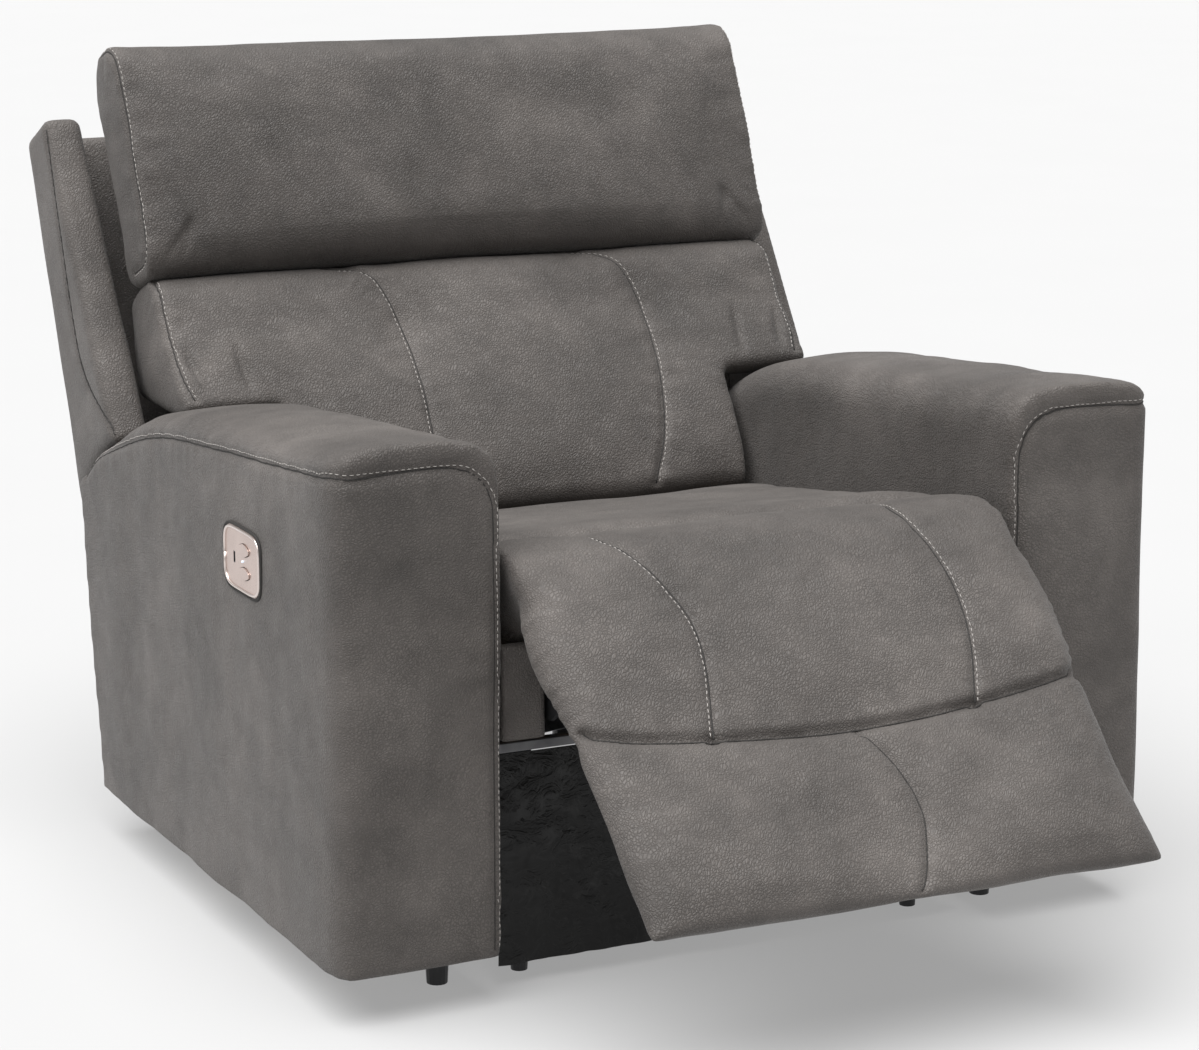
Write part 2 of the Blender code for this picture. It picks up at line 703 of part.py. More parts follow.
def footrest(body):
    lower_pivot = shifted(FOOTREST_PIVOT, CRANK_ARM)
    for side in (-1, 1):
        outline = arc(FOOTREST_PIVOT, 0.0130, 20.0, 170.0, 6)
        outline.append(on_footrest(0.068, -0.0090))
        outline.append(on_footrest(0.082, -0.0178))
        outline.append(on_footrest(0.300, -0.0178))
        outline.append(on_footrest(0.290, -0.0300))
        outline.append(on_footrest(0.110, -0.0400))
        outline.extend(arc(lower_pivot, 0.0125, -140.0, 20.0, 6))
        name = "footrest_bracket_" + side_name(side)
        holes = (circle(FOOTREST_PIVOT, 0.0056),)
        bracket = as_mesh(outline_object(name, outline, PLATE, side * BRACKET_X, holes))
        add_stud(bracket, "push_rod_stud", side, lower_pivot, 0.0046, 0.2405, 0.2550)
        place(bracket, "black_steel", body)
    board = [on_footrest(0.085, -0.0165), on_footrest(0.375, -0.0165), on_footrest(0.375, -0.0035), on_footrest(0.085, -0.0035)]
    plate("footrest_board", board, 0.630, 0.0, "wood", body)


def footrest_pads(body):
    """The two padded sections of the footrest, above and below its cross seam."""
    upper = [
        on_footrest(0.030, 0.0150),
        on_footrest(0.030, 0.0480),
        on_footrest(0.085, FOOTREST_FACE),
        on_footrest(0.1510, FOOTREST_FACE),
        on_footrest(0.1510, -0.0030),
        on_footrest(0.0850, -0.0030),
    ]
    lower = [
        on_footrest(0.1525, -0.0030),
        on_footrest(0.1525, FOOTREST_FACE + 0.004),
        on_footrest(0.3600, FOOTREST_FACE + 0.003),
        on_footrest(FOOTREST_LENGTH + 0.006, FOOTREST_FACE - 0.006),
        on_footrest(FOOTREST_LENGTH + 0.004, 0.0240),
        on_footrest(0.3800, -0.0030),
    ]
    for name, outline in (("footrest_pad_upper", upper), ("footrest_pad_lower", lower)):
        plate(name, rounded(outline, 0.014, 2), 2 * SEAT_HALF_WIDTH, 0.0, "leather", body, round_edges=0.010)


# ---------------------------------------------------------------- back


def back(body):
    back_frame(body)
    for side in (-1, 1):
        wing(side, body)
        hinge_arm(side, body)
    back_panels(body)
    lumbar_cushion(body)
    headrest_actuator(body)


def arc_height(rear):
    """How far up the back the wing's lower arc lies, at a distance towards the rear."""
    return math.sqrt(WING_ARC_RADIUS ** 2 - rear ** 2)


def wing(side, body):
    """Upholstered side wing of the back, its lower edge an arc about the back's hinge."""
    rear_corner = on_back(arc_height(BACK_REAR_PLANE), BACK_REAR_PLANE)
    rear = shifted(rear_corner, (-BACK_PIVOT[0], -BACK_PIVOT[1]))
    start = math.degrees(math.atan2(rear[1], rear[0]))
    outline = arc(BACK_PIVOT, WING_ARC_RADIUS, start, 73.0, 8)
    outline.append(on_back(0.6845, 0.0686))
    outline.append(on_back(0.6811, BACK_REAR_PLANE))
    width = WING_OUTER_X - WING_INNER_X
    centre = side * (WING_OUTER_X + WING_INNER_X) / 2
    plate("back_wing_" + side_name(side), outline, width, centre, "leather", body, round_edges=0.008)


def back_frame(body):
    """Wooden back frame: two posts and two rails in one flat ring."""
    half, post = 0.300, 0.045
    lower, upper = 0.150, 0.640
    depth = 0.026
    middle = on_back((lower + upper) / 2, ACTUATOR_PLANE)
    frame = block("back_frame", (0.0, *middle), (2 * half, depth, upper - lower), "wood", body, lean=-BACK_LEAN)
    reach = (upper - lower) / 2 - post
    cutter = box_cutter("back_frame_opening", (post - half, -0.1, -reach), (half - post, 0.1, reach))
    cutter.location = (0.0, *middle)
    cutter.rotation_euler = (-BACK_LEAN, 0.0, 0.0)
    cut(frame, cutter)


def hinge_arm(side, body):
    """Steel arm that joins the back's frame to the hinge pin."""
    outline = arc(BACK_PIVOT, 0.0200, 150.0, 300.0, 8)
    outline.append(on_back(0.030, 0.0600))
    outline.append(on_back(0.120, 0.1070))
    outline.append(on_back(0.1490, 0.1070))
    outline.append(on_back(0.1490, 0.0830))
    outline.append(on_back(0.080, 0.0300))
    name = "back_hinge_arm_" + side_name(side)
    plate(name, outline, PLATE, side * SIDE_PLATE_X, "black_steel", body, holes=(circle(BACK_PIVOT, 0.0062),))


def back_panels(body):
    """Outside back: an upholstered panel between the wings, and a lower one between the arms."""
    front_s = arc_height(BACK_PANEL_FRONT)
    rear_s = arc_height(BACK_REAR_PLANE)
    upper = [
        on_back(front_s + 0.0010, BACK_PANEL_FRONT),
        on_back(rear_s + 0.0010, BACK_REAR_PLANE),
        on_back(0.6740, BACK_REAR_PLANE),
        on_back(0.6740, BACK_PANEL_FRONT),
    ]
    plate("back_panel_upper", upper, 2 * (WING_INNER_X - GAP), 0.0, "leather", body, round_edges=0.006)
    lower = [
        (0.4900, 0.150),
        (0.5200, 0.142),
        on_back(rear_s - 0.0005, BACK_REAR_PLANE),
        on_back(front_s - 0.0005, BACK_PANEL_FRONT),
    ]
    plate("back_panel_lower", lower, 0.660, 0.0, "leather", body, round_edges=0.006)


def lumbar_cushion(body):
    """Lower back cushion, wide above the arms and narrow between them."""
    profile = [
        (0.272, 0.440),
        (0.330, 0.434),
        (0.410, 0.446),
        on_back(0.210, 0.0550),
        on_back(0.300, 0.0700),
        on_back(0.4050, 0.0550),
        on_back(0.4140, -0.0150),
        on_back(0.4140, -0.0500),
        on_back(0.3980, -0.0850),
        on_back(0.3400, -0.1000),
        (0.338, 0.590),
        (0.290, 0.510),
    ]
    cushion = as_mesh(outline_object("lumbar_cushion", rounded(profile, 0.02, 2), 2 * CUSHION_HALF_WIDTH, 0.0))
    for side in (-1, 1):
        low = (min(side * 0.328, side * 0.60), 0.20, 0.40)
        high = (max(side * 0.328, side * 0.60), 0.60, 0.592)
        cut(cushion, box_cutter("lumbar_notch_" + side_name(side), low, high))
    return place(cushion, "leather", body)


def headrest_actuator(body):
    """Small motor that tilts the headrest, on the lower rail of the back frame."""
    low, high = 0.1956, 0.2700
    centre = on_back((low + high) / 2, ACTUATOR_PLANE)
    block("headrest_motor", (ROD_LINE_X, *centre), (0.036, 0.022, high - low), "black_plastic", body, lean=-BACK_LEAN)


def headrest_rod(body):
    """Rod that the motor pushes up, beside the headrest bracket. Its upper end is the open pivot."""
    low, high = 0.2706, 0.4780
    centre = on_back((low + high) / 2, ACTUATOR_PLANE)
    block("headrest_rod", (ROD_LINE_X, *centre), (0.010, 0.010, high - low), "spring_steel", body, lean=-BACK_LEAN)


def headrest_bracket(body):
    """Steel lug from the headrest board back to the rod."""
    outline = [
        on_back(0.4560, 0.0464),
        on_back(0.4620, 0.1025),
        on_back(0.4780, 0.1025),
        on_back(0.5400, 0.0464),
    ]
    plate("headrest_bracket", outline, PLATE, ROD_LINE_X + 0.0095, "black_steel", body)


def headrest(body):
    headrest_bracket(body)
    board_centre = on_back(0.575, 0.0400)
    block("headrest_board", (0.0, *board_centre), (0.860, 0.012, 0.230), "wood", body, lean=-BACK_LEAN)
    profile = [
        on_back(0.4340, -0.0300),
        on_back(0.4480, -0.0720),
        on_back(0.5050, -0.0920),
        on_back(0.6400, -0.0870),
        on_back(0.7200, -0.0740),
        on_back(0.7480, -0.0380),
        on_back(0.7400, 0.0100),
        on_back(0.7050, 0.0330),
        on_back(0.4600, 0.0330),
        on_back(0.4360, 0.0100),
    ]
    plate("head_cushion", rounded(profile, 0.03, 2), 2 * CUSHION_HALF_WIDTH, 0.0, "leather", body, round_edges=0.014)


# ---------------------------------------------------------------- assembly


clear_scene()
PARTS = new_collection("recliner_armchair")
CUTTERS = new_collection("cutters")

CHAIR = bpy.data.objects.new("chair", None)
CHAIR.location = (0.0, CENTRE_SHIFT_Y, 0.0)
PARTS.objects.link(CHAIR)

SEAT = axis_empty("seat_slide_axis", (0.0, 0.3000))
BACK = axis_empty("back_axis", BACK_PIVOT)
HEADREST = axis_empty("headrest_axis", HEADREST_PIVOT)
FOOTREST = axis_empty("footrest_axis", FOOTREST_PIVOT)
CRANK = axis_empty("crank_axis", CRANK_PIVOT)
RODS = axis_empty("push_rod_axis", shifted(CRANK_PIVOT, CRANK_ARM))
LINK = axis_empty("drive_link_axis", shifted(CRANK_PIVOT, NUT_LUG))
NUT = axis_empty("drive_nut_axis", (0.0, SCREW_Z))
HEADREST_DRIVE = axis_empty("headrest_rod_axis", on_back(0.375, ACTUATOR_PLANE))

for arm_side in (-1, 1):
    arm_cover(arm_side)
    arm_frame(arm_side)
arm_feet()
control_panel()
base()
seat(SEAT)
torque_tube(CRANK)
push_rods(RODS)
drive_nut(NUT)
drive_link(LINK)
footrest(FOOTREST)
footrest_pads(FOOTREST)
back(BACK)
headrest_rod(HEADREST_DRIVE)
headrest(HEADREST)
bpy.context.view_layer.update()
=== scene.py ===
"""Looks of the power recliner armchair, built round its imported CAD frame."""

import json
import math

import bmesh
import bpy
import numpy as np
from mathutils import Matrix, Vector, noise
from mathutils.bvhtree import BVHTree
from mathutils.kdtree import KDTree


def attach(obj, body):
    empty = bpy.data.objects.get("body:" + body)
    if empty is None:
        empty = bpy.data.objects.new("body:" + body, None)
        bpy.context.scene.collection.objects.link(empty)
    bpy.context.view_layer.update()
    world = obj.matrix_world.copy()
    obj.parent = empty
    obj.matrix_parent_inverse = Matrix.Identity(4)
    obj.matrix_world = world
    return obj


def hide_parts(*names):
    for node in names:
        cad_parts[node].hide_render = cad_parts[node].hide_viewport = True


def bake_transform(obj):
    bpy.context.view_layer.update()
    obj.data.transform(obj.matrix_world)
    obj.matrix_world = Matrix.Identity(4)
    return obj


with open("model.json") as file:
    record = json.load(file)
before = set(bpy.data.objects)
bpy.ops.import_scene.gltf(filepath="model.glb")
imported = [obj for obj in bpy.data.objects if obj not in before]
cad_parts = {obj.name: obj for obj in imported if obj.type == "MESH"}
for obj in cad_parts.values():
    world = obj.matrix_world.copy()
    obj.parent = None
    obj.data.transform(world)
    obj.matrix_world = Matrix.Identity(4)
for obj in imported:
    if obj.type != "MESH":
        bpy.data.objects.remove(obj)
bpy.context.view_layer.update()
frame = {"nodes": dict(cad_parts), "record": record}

# Lengths are in metres, in the chair's own layout; SHIFT_Y moves it into the row frame.
SHIFT_Y = -0.0374
BACK_PIVOT = (0.3885, 0.323)
BACK_LEAN = math.radians(22.3)
FOOTREST_PIVOT = (-0.385, 0.425)
FOOTREST_SLOPE = math.radians(42.1)

# Arms
ARM_OUTER_X = 0.540
ARM_INNER_X = 0.337
ARM_FRONT_Y = -0.3575
ARM_REAR_TOP_Y = 0.5535
ARM_REAR_BOTTOM_Y = 0.4925
ARM_BOTTOM_Z = 0.057
ARM_SEAM = [(-0.3575, 0.636), (-0.3285, 0.634), (-0.1635, 0.6195), (0.0165, 0.6055), (0.2245, 0.583),
            (0.3925, 0.5400), (0.4850, 0.510), (0.5535, 0.466)]
ARM_CROWN = 0.027
ARM_WIDTH = ARM_OUTER_X - ARM_INNER_X

# Control panel, on the outer side of the right arm
CONTROL_Y = -0.0803
CONTROL_Z = 0.490

# Liner behind the footrest
LINER_Y = -0.3030
LINER_BOTTOM_Z = 0.0285

# Stitching
STITCH_LENGTH = 0.0052
STITCH_GAP = 0.0024
STITCH_RADIUS = 0.00060
STITCH_SIDES = 6
SEAM_RADIUS = 0.0010
SEAM_SINK = 0.0001

# Voxel sizes that fuse and even out the modelled shapes
ARM_VOXEL = 0.006
CUSHION_VOXEL = 0.0075

# Swelling of the cushions
CLOTH_FRAMES = 20
CLOTH_STIFFNESS = 12.0
HELD_REACH = 0.007
INWARD_SHARE_DROPPED = 0.8
EVENING_ROUNDS = 24

# Studio
STAGE_RADIUS = 38.0
STAGE_HEIGHT = 9.0
STAGE_SIDES = 64
SUN_DIRECTION = (-0.27, -0.12, 0.95)
CAMERA_PLACE = (-1.882, -3.7565 + SHIFT_Y, 1.392)
CAMERA_AIM = (0.005, 0.0925 + SHIFT_Y, 0.426)


# ---------------------------------------------------------------- places


def on_back(up, rear):
    """(y, z) of a point beside the back: up along it from its hinge, and towards the rear."""
    sin, cos = math.sin(BACK_LEAN), math.cos(BACK_LEAN)
    return (BACK_PIVOT[0] + up * sin + rear * cos, BACK_PIVOT[1] + up * cos - rear * sin)


def on_footrest(along, out):
    """(y, z) of a point of the footrest: down its length from its hinge, and out of its face."""
    sin, cos = math.sin(FOOTREST_SLOPE), math.cos(FOOTREST_SLOPE)
    return (FOOTREST_PIVOT[0] - along * cos - out * sin, FOOTREST_PIVOT[1] - along * sin + out * cos)


def placed(points):
    """Points of the chair's own layout, moved into the row frame."""
    return [Vector((x, y + SHIFT_Y, z)) for x, y, z in points]


def catmull(points, spacing=0.004):
    """A smooth line through points, sampled about every spacing."""
    points = [Vector(p) for p in points]
    ends = [2 * points[0] - points[1]] + points + [2 * points[-1] - points[-2]]
    line = []
    for i in range(1, len(ends) - 2):
        p0, p1, p2, p3 = ends[i - 1:i + 3]
        steps = max(2, int((p2 - p1).length / spacing))
        for k in range(steps):
            t = k / steps
            line.append(0.5 * ((2 * p1) + (p2 - p0) * t + (2 * p0 - 5 * p1 + 4 * p2 - p3) * t * t
                               + (3 * p1 - p0 - 3 * p2 + p3) * t ** 3))
    line.append(points[-1])
    return line


def even(line, spacing):
    """The same line with its points an equal distance apart."""
    lengths = [0.0]
    for a, b in zip(line, line[1:]):
        lengths.append(lengths[-1] + (b - a).length)
    count = max(1, int(lengths[-1] / spacing))
    result, k = [], 0
    for i in range(count + 1):
        at = lengths[-1] * i / count
        while k < len(line) - 2 and lengths[k + 1] < at:
            k += 1
        span = lengths[k + 1] - lengths[k]
        t = 0.0 if span < 1e-9 else (at - lengths[k]) / span
        result.append(line[k].lerp(line[k + 1], t))
    return result


def spread(table, value):
    """Smooth interpolation in a table of (position, height)."""
    xs = [p[0] for p in table]
    ys = [p[1] for p in table]
    i = min(max(np.searchsorted(xs, value) - 1, 0), len(xs) - 2)
    slopes = [(ys[k + 1] - ys[k]) / (xs[k + 1] - xs[k]) for k in range(len(xs) - 1)]
    before = slopes[i] if i == 0 else (slopes[i - 1] + slopes[i]) / 2
    after = slopes[i] if i == len(xs) - 2 else (slopes[i] + slopes[i + 1]) / 2
    step = xs[i + 1] - xs[i]
    t = min(max((value - xs[i]) / step, 0.0), 1.0)
    return (ys[i] * (1 - 3 * t * t + 2 * t ** 3) + before * step * (t - 2 * t * t + t ** 3)
            + ys[i + 1] * (3 * t * t - 2 * t ** 3) + after * step * (t ** 3 - t * t))


# ---------------------------------------------------------------- materials


class Shader:
    """A Principled material with its nodes added one call at a time."""

    def __init__(self, name, roughness=0.5, metallic=0.0, colour=(0.5, 0.5, 0.5)):
        self.material = bpy.data.materials.new(name)
        self.material.use_nodes = True
        self.tree = self.material.node_tree
        self.out = self.tree.nodes["Principled BSDF"]
        self.out.inputs["Roughness"].default_value = roughness
        self.out.inputs["Metallic"].default_value = metallic
        self.out.inputs["Base Color"].default_value = (*colour, 1.0)
        self.place = self.add("ShaderNodeTexCoord").outputs["Object"]

    def add(self, kind, **inputs):
        node = self.tree.nodes.new(kind)
        for key, value in inputs.items():
            self.set(node, key.replace("_", " "), value)
        return node

    def set(self, node, key, value):
        socket = node.inputs[key]
        if isinstance(value, bpy.types.NodeSocket):
            self.tree.links.new(value, socket)
        else:
            socket.default_value = value

    def stretched(self, scale):
        node = self.add("ShaderNodeMapping")
        self.set(node, "Vector", self.place)
        node.inputs["Scale"].default_value = scale
        return node.outputs["Vector"]

    def noise(self, scale, detail=3.0, rough=0.55, distortion=0.0, vector=None):
        node = self.add("ShaderNodeTexNoise", Scale=scale, Detail=detail, Roughness=rough,
                        Distortion=distortion)
        self.set(node, "Vector", vector or self.place)
        return node.outputs["Fac"]

    def cells(self, scale, feature, vector):
        node = self.add("ShaderNodeTexVoronoi")
        node.feature = feature
        node.inputs["Scale"].default_value = scale
        self.set(node, "Vector", vector)
        return node.outputs["Distance"]

    def ramp(self, factor, *stops):
        node = self.add("ShaderNodeValToRGB")
        self.set(node, "Fac", factor)
        elements = node.color_ramp.elements
        while len(elements) < len(stops):
            elements.new(0.5)
        for element, (position, colour) in zip(elements, stops):
            element.position = position
            element.color = (*colour, 1.0)
        return node.outputs["Color"]

    def grey(self, factor, low, high, dark=0.0, light=1.0):
        return self.ramp(factor, (low, (dark,) * 3), (high, (light,) * 3))

    def math(self, operation, a, b):
        node = self.add("ShaderNodeMath")
        node.operation = operation
        for socket, value in zip(node.inputs, (a, b)):
            if isinstance(value, bpy.types.NodeSocket):
                self.tree.links.new(value, socket)
            else:
                socket.default_value = value
        return node.outputs["Value"]

    def mix(self, a, b, factor, blend="MIX"):
        node = self.add("ShaderNodeMix")
        node.data_type = "RGBA"
        node.blend_type = blend
        for key, value in (("Factor_Float", factor), ("A_Color", a), ("B_Color", b)):
            socket = next(s for s in node.inputs if s.identifier == key)
            if isinstance(value, bpy.types.NodeSocket):
                self.tree.links.new(value, socket)
            elif key == "Factor_Float":
                socket.default_value = value
            else:
                socket.default_value = (*value, 1.0)
        return next(s for s in node.outputs if s.identifier == "Result_Color")

    def bump(self, height, strength, distance, normal=None):
        node = self.add("ShaderNodeBump", Strength=strength, Distance=distance, Height=height)
        if normal is not None:
            self.set(node, "Normal", normal)
        return node.outputs["Normal"]

    def colour(self, value):
        self.set(self.out, "Base Color", value)

    def rough(self, value):
        self.set(self.out, "Roughness", value)

    def normal(self, value):
        self.set(self.out, "Normal", value)


PEBBLE_SCALE = 275.0


def leather_material():
    """Soft pebbled upholstery leather: cloudy tone, painted shade in the pebble valleys and painted
    highlights on the pebble tops.
    """
    s = Shader("pebbled_leather", roughness=0.62)
    warp = s.noise(55.0, detail=2.0)
    moved = s.mix(s.place, warp, 0.012, "ADD")
    cloud = s.noise(4.2, detail=4.0, rough=0.6, distortion=0.35)
    tone = s.ramp(cloud, (0.30, (0.055, 0.0485, 0.0440)), (0.50, (0.082, 0.0725, 0.0662)),
                  (0.70, (0.119, 0.1060, 0.0972)))
    patches = s.noise(19.0, detail=4.0, rough=0.62)
    tone = s.mix(tone, s.grey(patches, 0.34, 0.70, 0.82, 1.16), 0.75, "MULTIPLY")
    edge = s.cells(PEBBLE_SCALE, "DISTANCE_TO_EDGE", moved)
    centre = s.cells(PEBBLE_SCALE, "F1", moved)
    # Patchy mask of where the painted shade and painted highlight of the grain show
    painted_grain_shading_mask = s.grey(s.noise(9.0, detail=3.0), 0.34, 0.66, 0.25, 1.0)
    # Painted shade: the valleys between the pebbles are darkened in the colour
    tone = s.mix(tone, s.grey(edge, 0.02, 0.13, 0.66, 1.04), painted_grain_shading_mask, "MULTIPLY")
    # Painted highlight: the pebble tops are mixed towards a lighter colour, in the same patches
    tone = s.mix(tone, (0.165, 0.149, 0.138), s.math("MULTIPLY", s.grey(centre, 0.10, 0.34, 0.17, 0.0), painted_grain_shading_mask))
    s.colour(tone)
    s.rough(s.grey(s.noise(30.0, detail=4.0), 0.25, 0.75, 0.50, 0.68))
    pebble = s.grey(edge, 0.0, 0.26, 0.0, 1.0)
    normal = s.bump(pebble, 0.62, 0.0010)
    normal = s.bump(s.noise(620.0, detail=2.0), 0.12, 0.0003, normal)
    normal = s.bump(s.noise(22.0, detail=2.0), 0.12, 0.0040, normal)
    s.normal(normal)
    s.out.inputs["Sheen Weight"].default_value = 0.10
    s.out.inputs["Sheen Roughness"].default_value = 0.45
    s.out.inputs["Specular IOR Level"].default_value = 0.42
    return s.material


def thread_material():
    """The pale twisted thread of the show stitching."""
    s = Shader("light_thread", roughness=0.6)
    twist = s.noise(900.0, detail=2.0)
    s.colour(s.ramp(twist, (0.3, (0.28, 0.262, 0.246)), (0.7, (0.43, 0.405, 0.383))))
    s.normal(s.bump(twist, 0.5, 0.0003))
    return s.material


def seam_material():
    """Painted shadow: the near-black colour of a tube standing for the deep shade in the fold where two
    panels meet.
    """
    s = Shader("seam_painted_shadow", roughness=0.8)
    s.colour(s.ramp(s.noise(300.0, detail=2.0), (0.3, (0.014, 0.013, 0.012)), (0.7, (0.030, 0.027, 0.025))))
    s.normal(s.bump(s.noise(500.0, detail=2.0), 0.3, 0.0003))
    return s.material


def dark_thread_material():
    """The thread of the wings, close to the leather in tone."""
    s = Shader("dark_thread", roughness=0.7)
    twist = s.noise(900.0, detail=2.0)
    s.colour(s.ramp(twist, (0.3, (0.035, 0.032, 0.030)), (0.7, (0.075, 0.068, 0.064))))
    s.normal(s.bump(twist, 0.5, 0.0003))
    return s.material


def liner_material():
    """Thin black liner with a creased, slightly shiny surface."""
    s = Shader("black_liner", roughness=0.30)
    crease = s.noise(38.0, detail=5.0, rough=0.6, distortion=1.6)
    s.colour(s.ramp(s.noise(60.0, detail=4.0), (0.3, (0.0015, 0.0015, 0.0015)),
                    (0.7, (0.004, 0.0038, 0.0035))))
    s.rough(s.grey(s.noise(22.0, detail=3.0), 0.3, 0.7, 0.12, 0.30))
    weave = s.noise(900.0, detail=1.0)
    s.normal(s.bump(weave, 0.15, 0.0003, s.bump(crease, 0.6, 0.006)))
    s.out.inputs["Specular IOR Level"].default_value = 0.30
    return s.material


def painted_steel_material(name, dark, light, roughness, metallic):
    s = Shader(name, roughness=roughness, metallic=metallic)
    s.colour(s.ramp(s.noise(24.0, detail=5.0), (0.3, dark), (0.7, light)))
    s.rough(s.grey(s.noise(60.0, detail=4.0), 0.25, 0.75, roughness - 0.08, roughness + 0.10))
    s.normal(s.bump(s.noise(420.0, detail=3.0), 0.25, 0.0004))
    return s.material


def drawn_steel_material(name, dark, light):
    """Bare steel with fine lines along Y, from drawing or brushing."""
    s = Shader(name, roughness=0.34, metallic=1.0)
    lines = s.noise(1.0, detail=6.0, rough=0.7, vector=s.stretched((900.0, 30.0, 900.0)))
    s.colour(s.ramp(s.noise(30.0, detail=4.0), (0.3, dark), (0.7, light)))
    s.rough(s.grey(lines, 0.3, 0.7, 0.26, 0.48))
    s.normal(s.bump(lines, 0.15, 0.0003))
    return s.material


def wood_material():
    """Raw plywood and sawn board, with long grain along Y."""
    s = Shader("raw_wood", roughness=0.75)
    grain = s.noise(1.0, detail=8.0, rough=0.6, distortion=0.8, vector=s.stretched((60.0, 5.0, 60.0)))
    tone = s.ramp(grain, (0.30, (0.33, 0.20, 0.10)), (0.52, (0.52, 0.36, 0.21)), (0.72, (0.62, 0.46, 0.29)))
    s.colour(tone)
    s.rough(s.grey(grain, 0.3, 0.7, 0.65, 0.85))
    s.normal(s.bump(grain, 0.3, 0.0008))
    return s.material


def plastic_material(name, dark, light, roughness):
    s = Shader(name, roughness=roughness)
    s.colour(s.ramp(s.noise(40.0, detail=4.0), (0.3, dark), (0.7, light)))
    s.rough(s.grey(s.noise(90.0, detail=4.0), 0.3, 0.7, roughness - 0.06, roughness + 0.10))
    s.normal(s.bump(s.noise(520.0, detail=2.0), 0.22, 0.0003))
    return s.material


def champagne_material(name="champagne_metal", dark=(0.50, 0.395, 0.355), light=(0.60, 0.485, 0.44)):
    """Satin metallic plastic in a pale rose gold."""
    s = Shader(name, roughness=0.32, metallic=0.85)
    flakes = s.noise(1400.0, detail=2.0)
    s.colour(s.ramp(s.mix(flakes, s.noise(25.0), 0.5), (0.3, dark), (0.7, light)))
    s.rough(s.grey(flakes, 0.3, 0.7, 0.26, 0.40))
    s.normal(s.bump(flakes, 0.10, 0.0002))
    s.out.inputs["Coat Weight"].default_value = 0.3
    s.out.inputs["Coat Roughness"].default_value = 0.15
    return s.material


def lamp_material():
    s = Shader("lamp_lens", roughness=0.15, colour=(0.8, 0.88, 0.95))
    s.colour(s.ramp(s.noise(400.0), (0.3, (0.70, 0.80, 0.90)), (0.7, (0.88, 0.94, 1.0))))
    s.out.inputs["Emission Color"].default_value = (0.65, 0.82, 1.0, 1.0)
    s.out.inputs["Emission Strength"].default_value = 0.6
    return s.material


def floor_material():
    s = Shader("pale_floor", roughness=0.9)
    s.colour(s.ramp(s.noise(2.0, detail=2.0), (0.3, (0.298, 0.298, 0.298)), (0.7, (0.302, 0.302, 0.302))))
    s.out.inputs["Specular IOR Level"].default_value = 0.1
    s.out.inputs["Emission Color"].default_value = (1.0, 1.0, 1.0, 1.0)
    s.out.inputs["Emission Strength"].default_value = 0.32
    return s.material


LEATHER = leather_material()
THREAD = thread_material()
SEAM_SHADE = seam_material()
DARK_THREAD = dark_thread_material()
LINER = liner_material()
BLACK_STEEL = painted_steel_material(
    "black_painted_steel", (0.016, 0.016, 0.017), (0.034, 0.034, 0.036), 0.42, 0.2)
GREY_STEEL = drawn_steel_material("zinc_steel", (0.13, 0.13, 0.135), (0.21, 0.21, 0.215))
SPRING_STEEL = drawn_steel_material("spring_steel", (0.30, 0.29, 0.28), (0.46, 0.45, 0.44))
WOOD = wood_material()
BLACK_PLASTIC = plastic_material("black_plastic", (0.010, 0.010, 0.011), (0.022, 0.022, 0.024), 0.36)
CHAMPAGNE = champagne_material()
# Lighter copy of the champagne metal, a painted highlight on the control panel's bevelled rim
CHAMPAGNE_HIGHLIGHT_RIM = champagne_material("champagne_painted_highlight", (0.66, 0.57, 0.53), (0.76, 0.68, 0.64))
LAMP = lamp_material()

CAD_LOOKS = {
    "black_steel": BLACK_STEEL, "grey_steel": GREY_STEEL, "spring_steel": SPRING_STEEL, "wood": WOOD,
    "black_plastic": BLACK_PLASTIC, "champagne": CHAMPAGNE, "lamp": LAMP, "black_cloth": LINER,
    "leather": LEATHER,
}


def dress_cad_nodes():
    """Give every CAD node the detailed material of its slot."""
    for part in frame["record"]["subparts"]:
        node = frame["nodes"][part["node"]]
        node.data.materials.clear()
        node.data.materials.append(CAD_LOOKS[part["material_slot"]])


# ---------------------------------------------------------------- mesh helpers


def mesh_object(name, verts, faces, material=LEATHER, smooth=True):
    mesh = bpy.data.meshes.new(name)
    mesh.from_pydata([tuple(v) for v in verts], [], faces)
    obj = bpy.data.objects.new(name, mesh)
    bpy.context.scene.collection.objects.link(obj)
    mesh.materials.append(material)
    if smooth:
        mesh.shade_smooth()
    return obj


def extruded(name, outline, x0, x1):
    """A (y, z) outline as a closed solid along X."""
    count = len(outline)
    verts = [(x0, y, z) for y, z in outline] + [(x1, y, z) for y, z in outline]
    faces = [tuple(range(count)), tuple(range(2 * count - 1, count - 1, -1))]
    for i in range(count):
        j = (i + 1) % count
        faces.append((i, i + count, j + count, j))
    obj = mesh_object(name, verts, faces)
    fix_normals(obj)
    return obj


def fix_normals(obj):
    shape = bmesh.new()
    shape.from_mesh(obj.data)
    bmesh.ops.recalc_face_normals(shape, faces=shape.faces)
    shape.to_mesh(obj.data)
    shape.free()


def apply_modifiers(obj):
    """Replace an object's mesh by the result of its modifiers."""
    depsgraph = bpy.context.evaluated_depsgraph_get()
    depsgraph.update()
    mesh = bpy.data.meshes.new_from_object(obj.evaluated_get(depsgraph))
    obj.modifiers.clear()
    old = obj.data
    obj.data = mesh
    bpy.data.meshes.remove(old)
    obj.data.shade_smooth()
    return obj


def joined(name, objects):
    """Several closed objects as one mesh, which a remesh then fuses."""
    shape = bmesh.new()
    for obj in objects:
        shape.from_mesh(obj.data)
    mesh = bpy.data.meshes.new(name)
    shape.to_mesh(mesh)
    shape.free()
    for obj in objects:
        bpy.data.objects.remove(obj, do_unlink=True)
    result = bpy.data.objects.new(name, mesh)
    bpy.context.scene.collection.objects.link(result)
    mesh.materials.append(LEATHER)
    return result


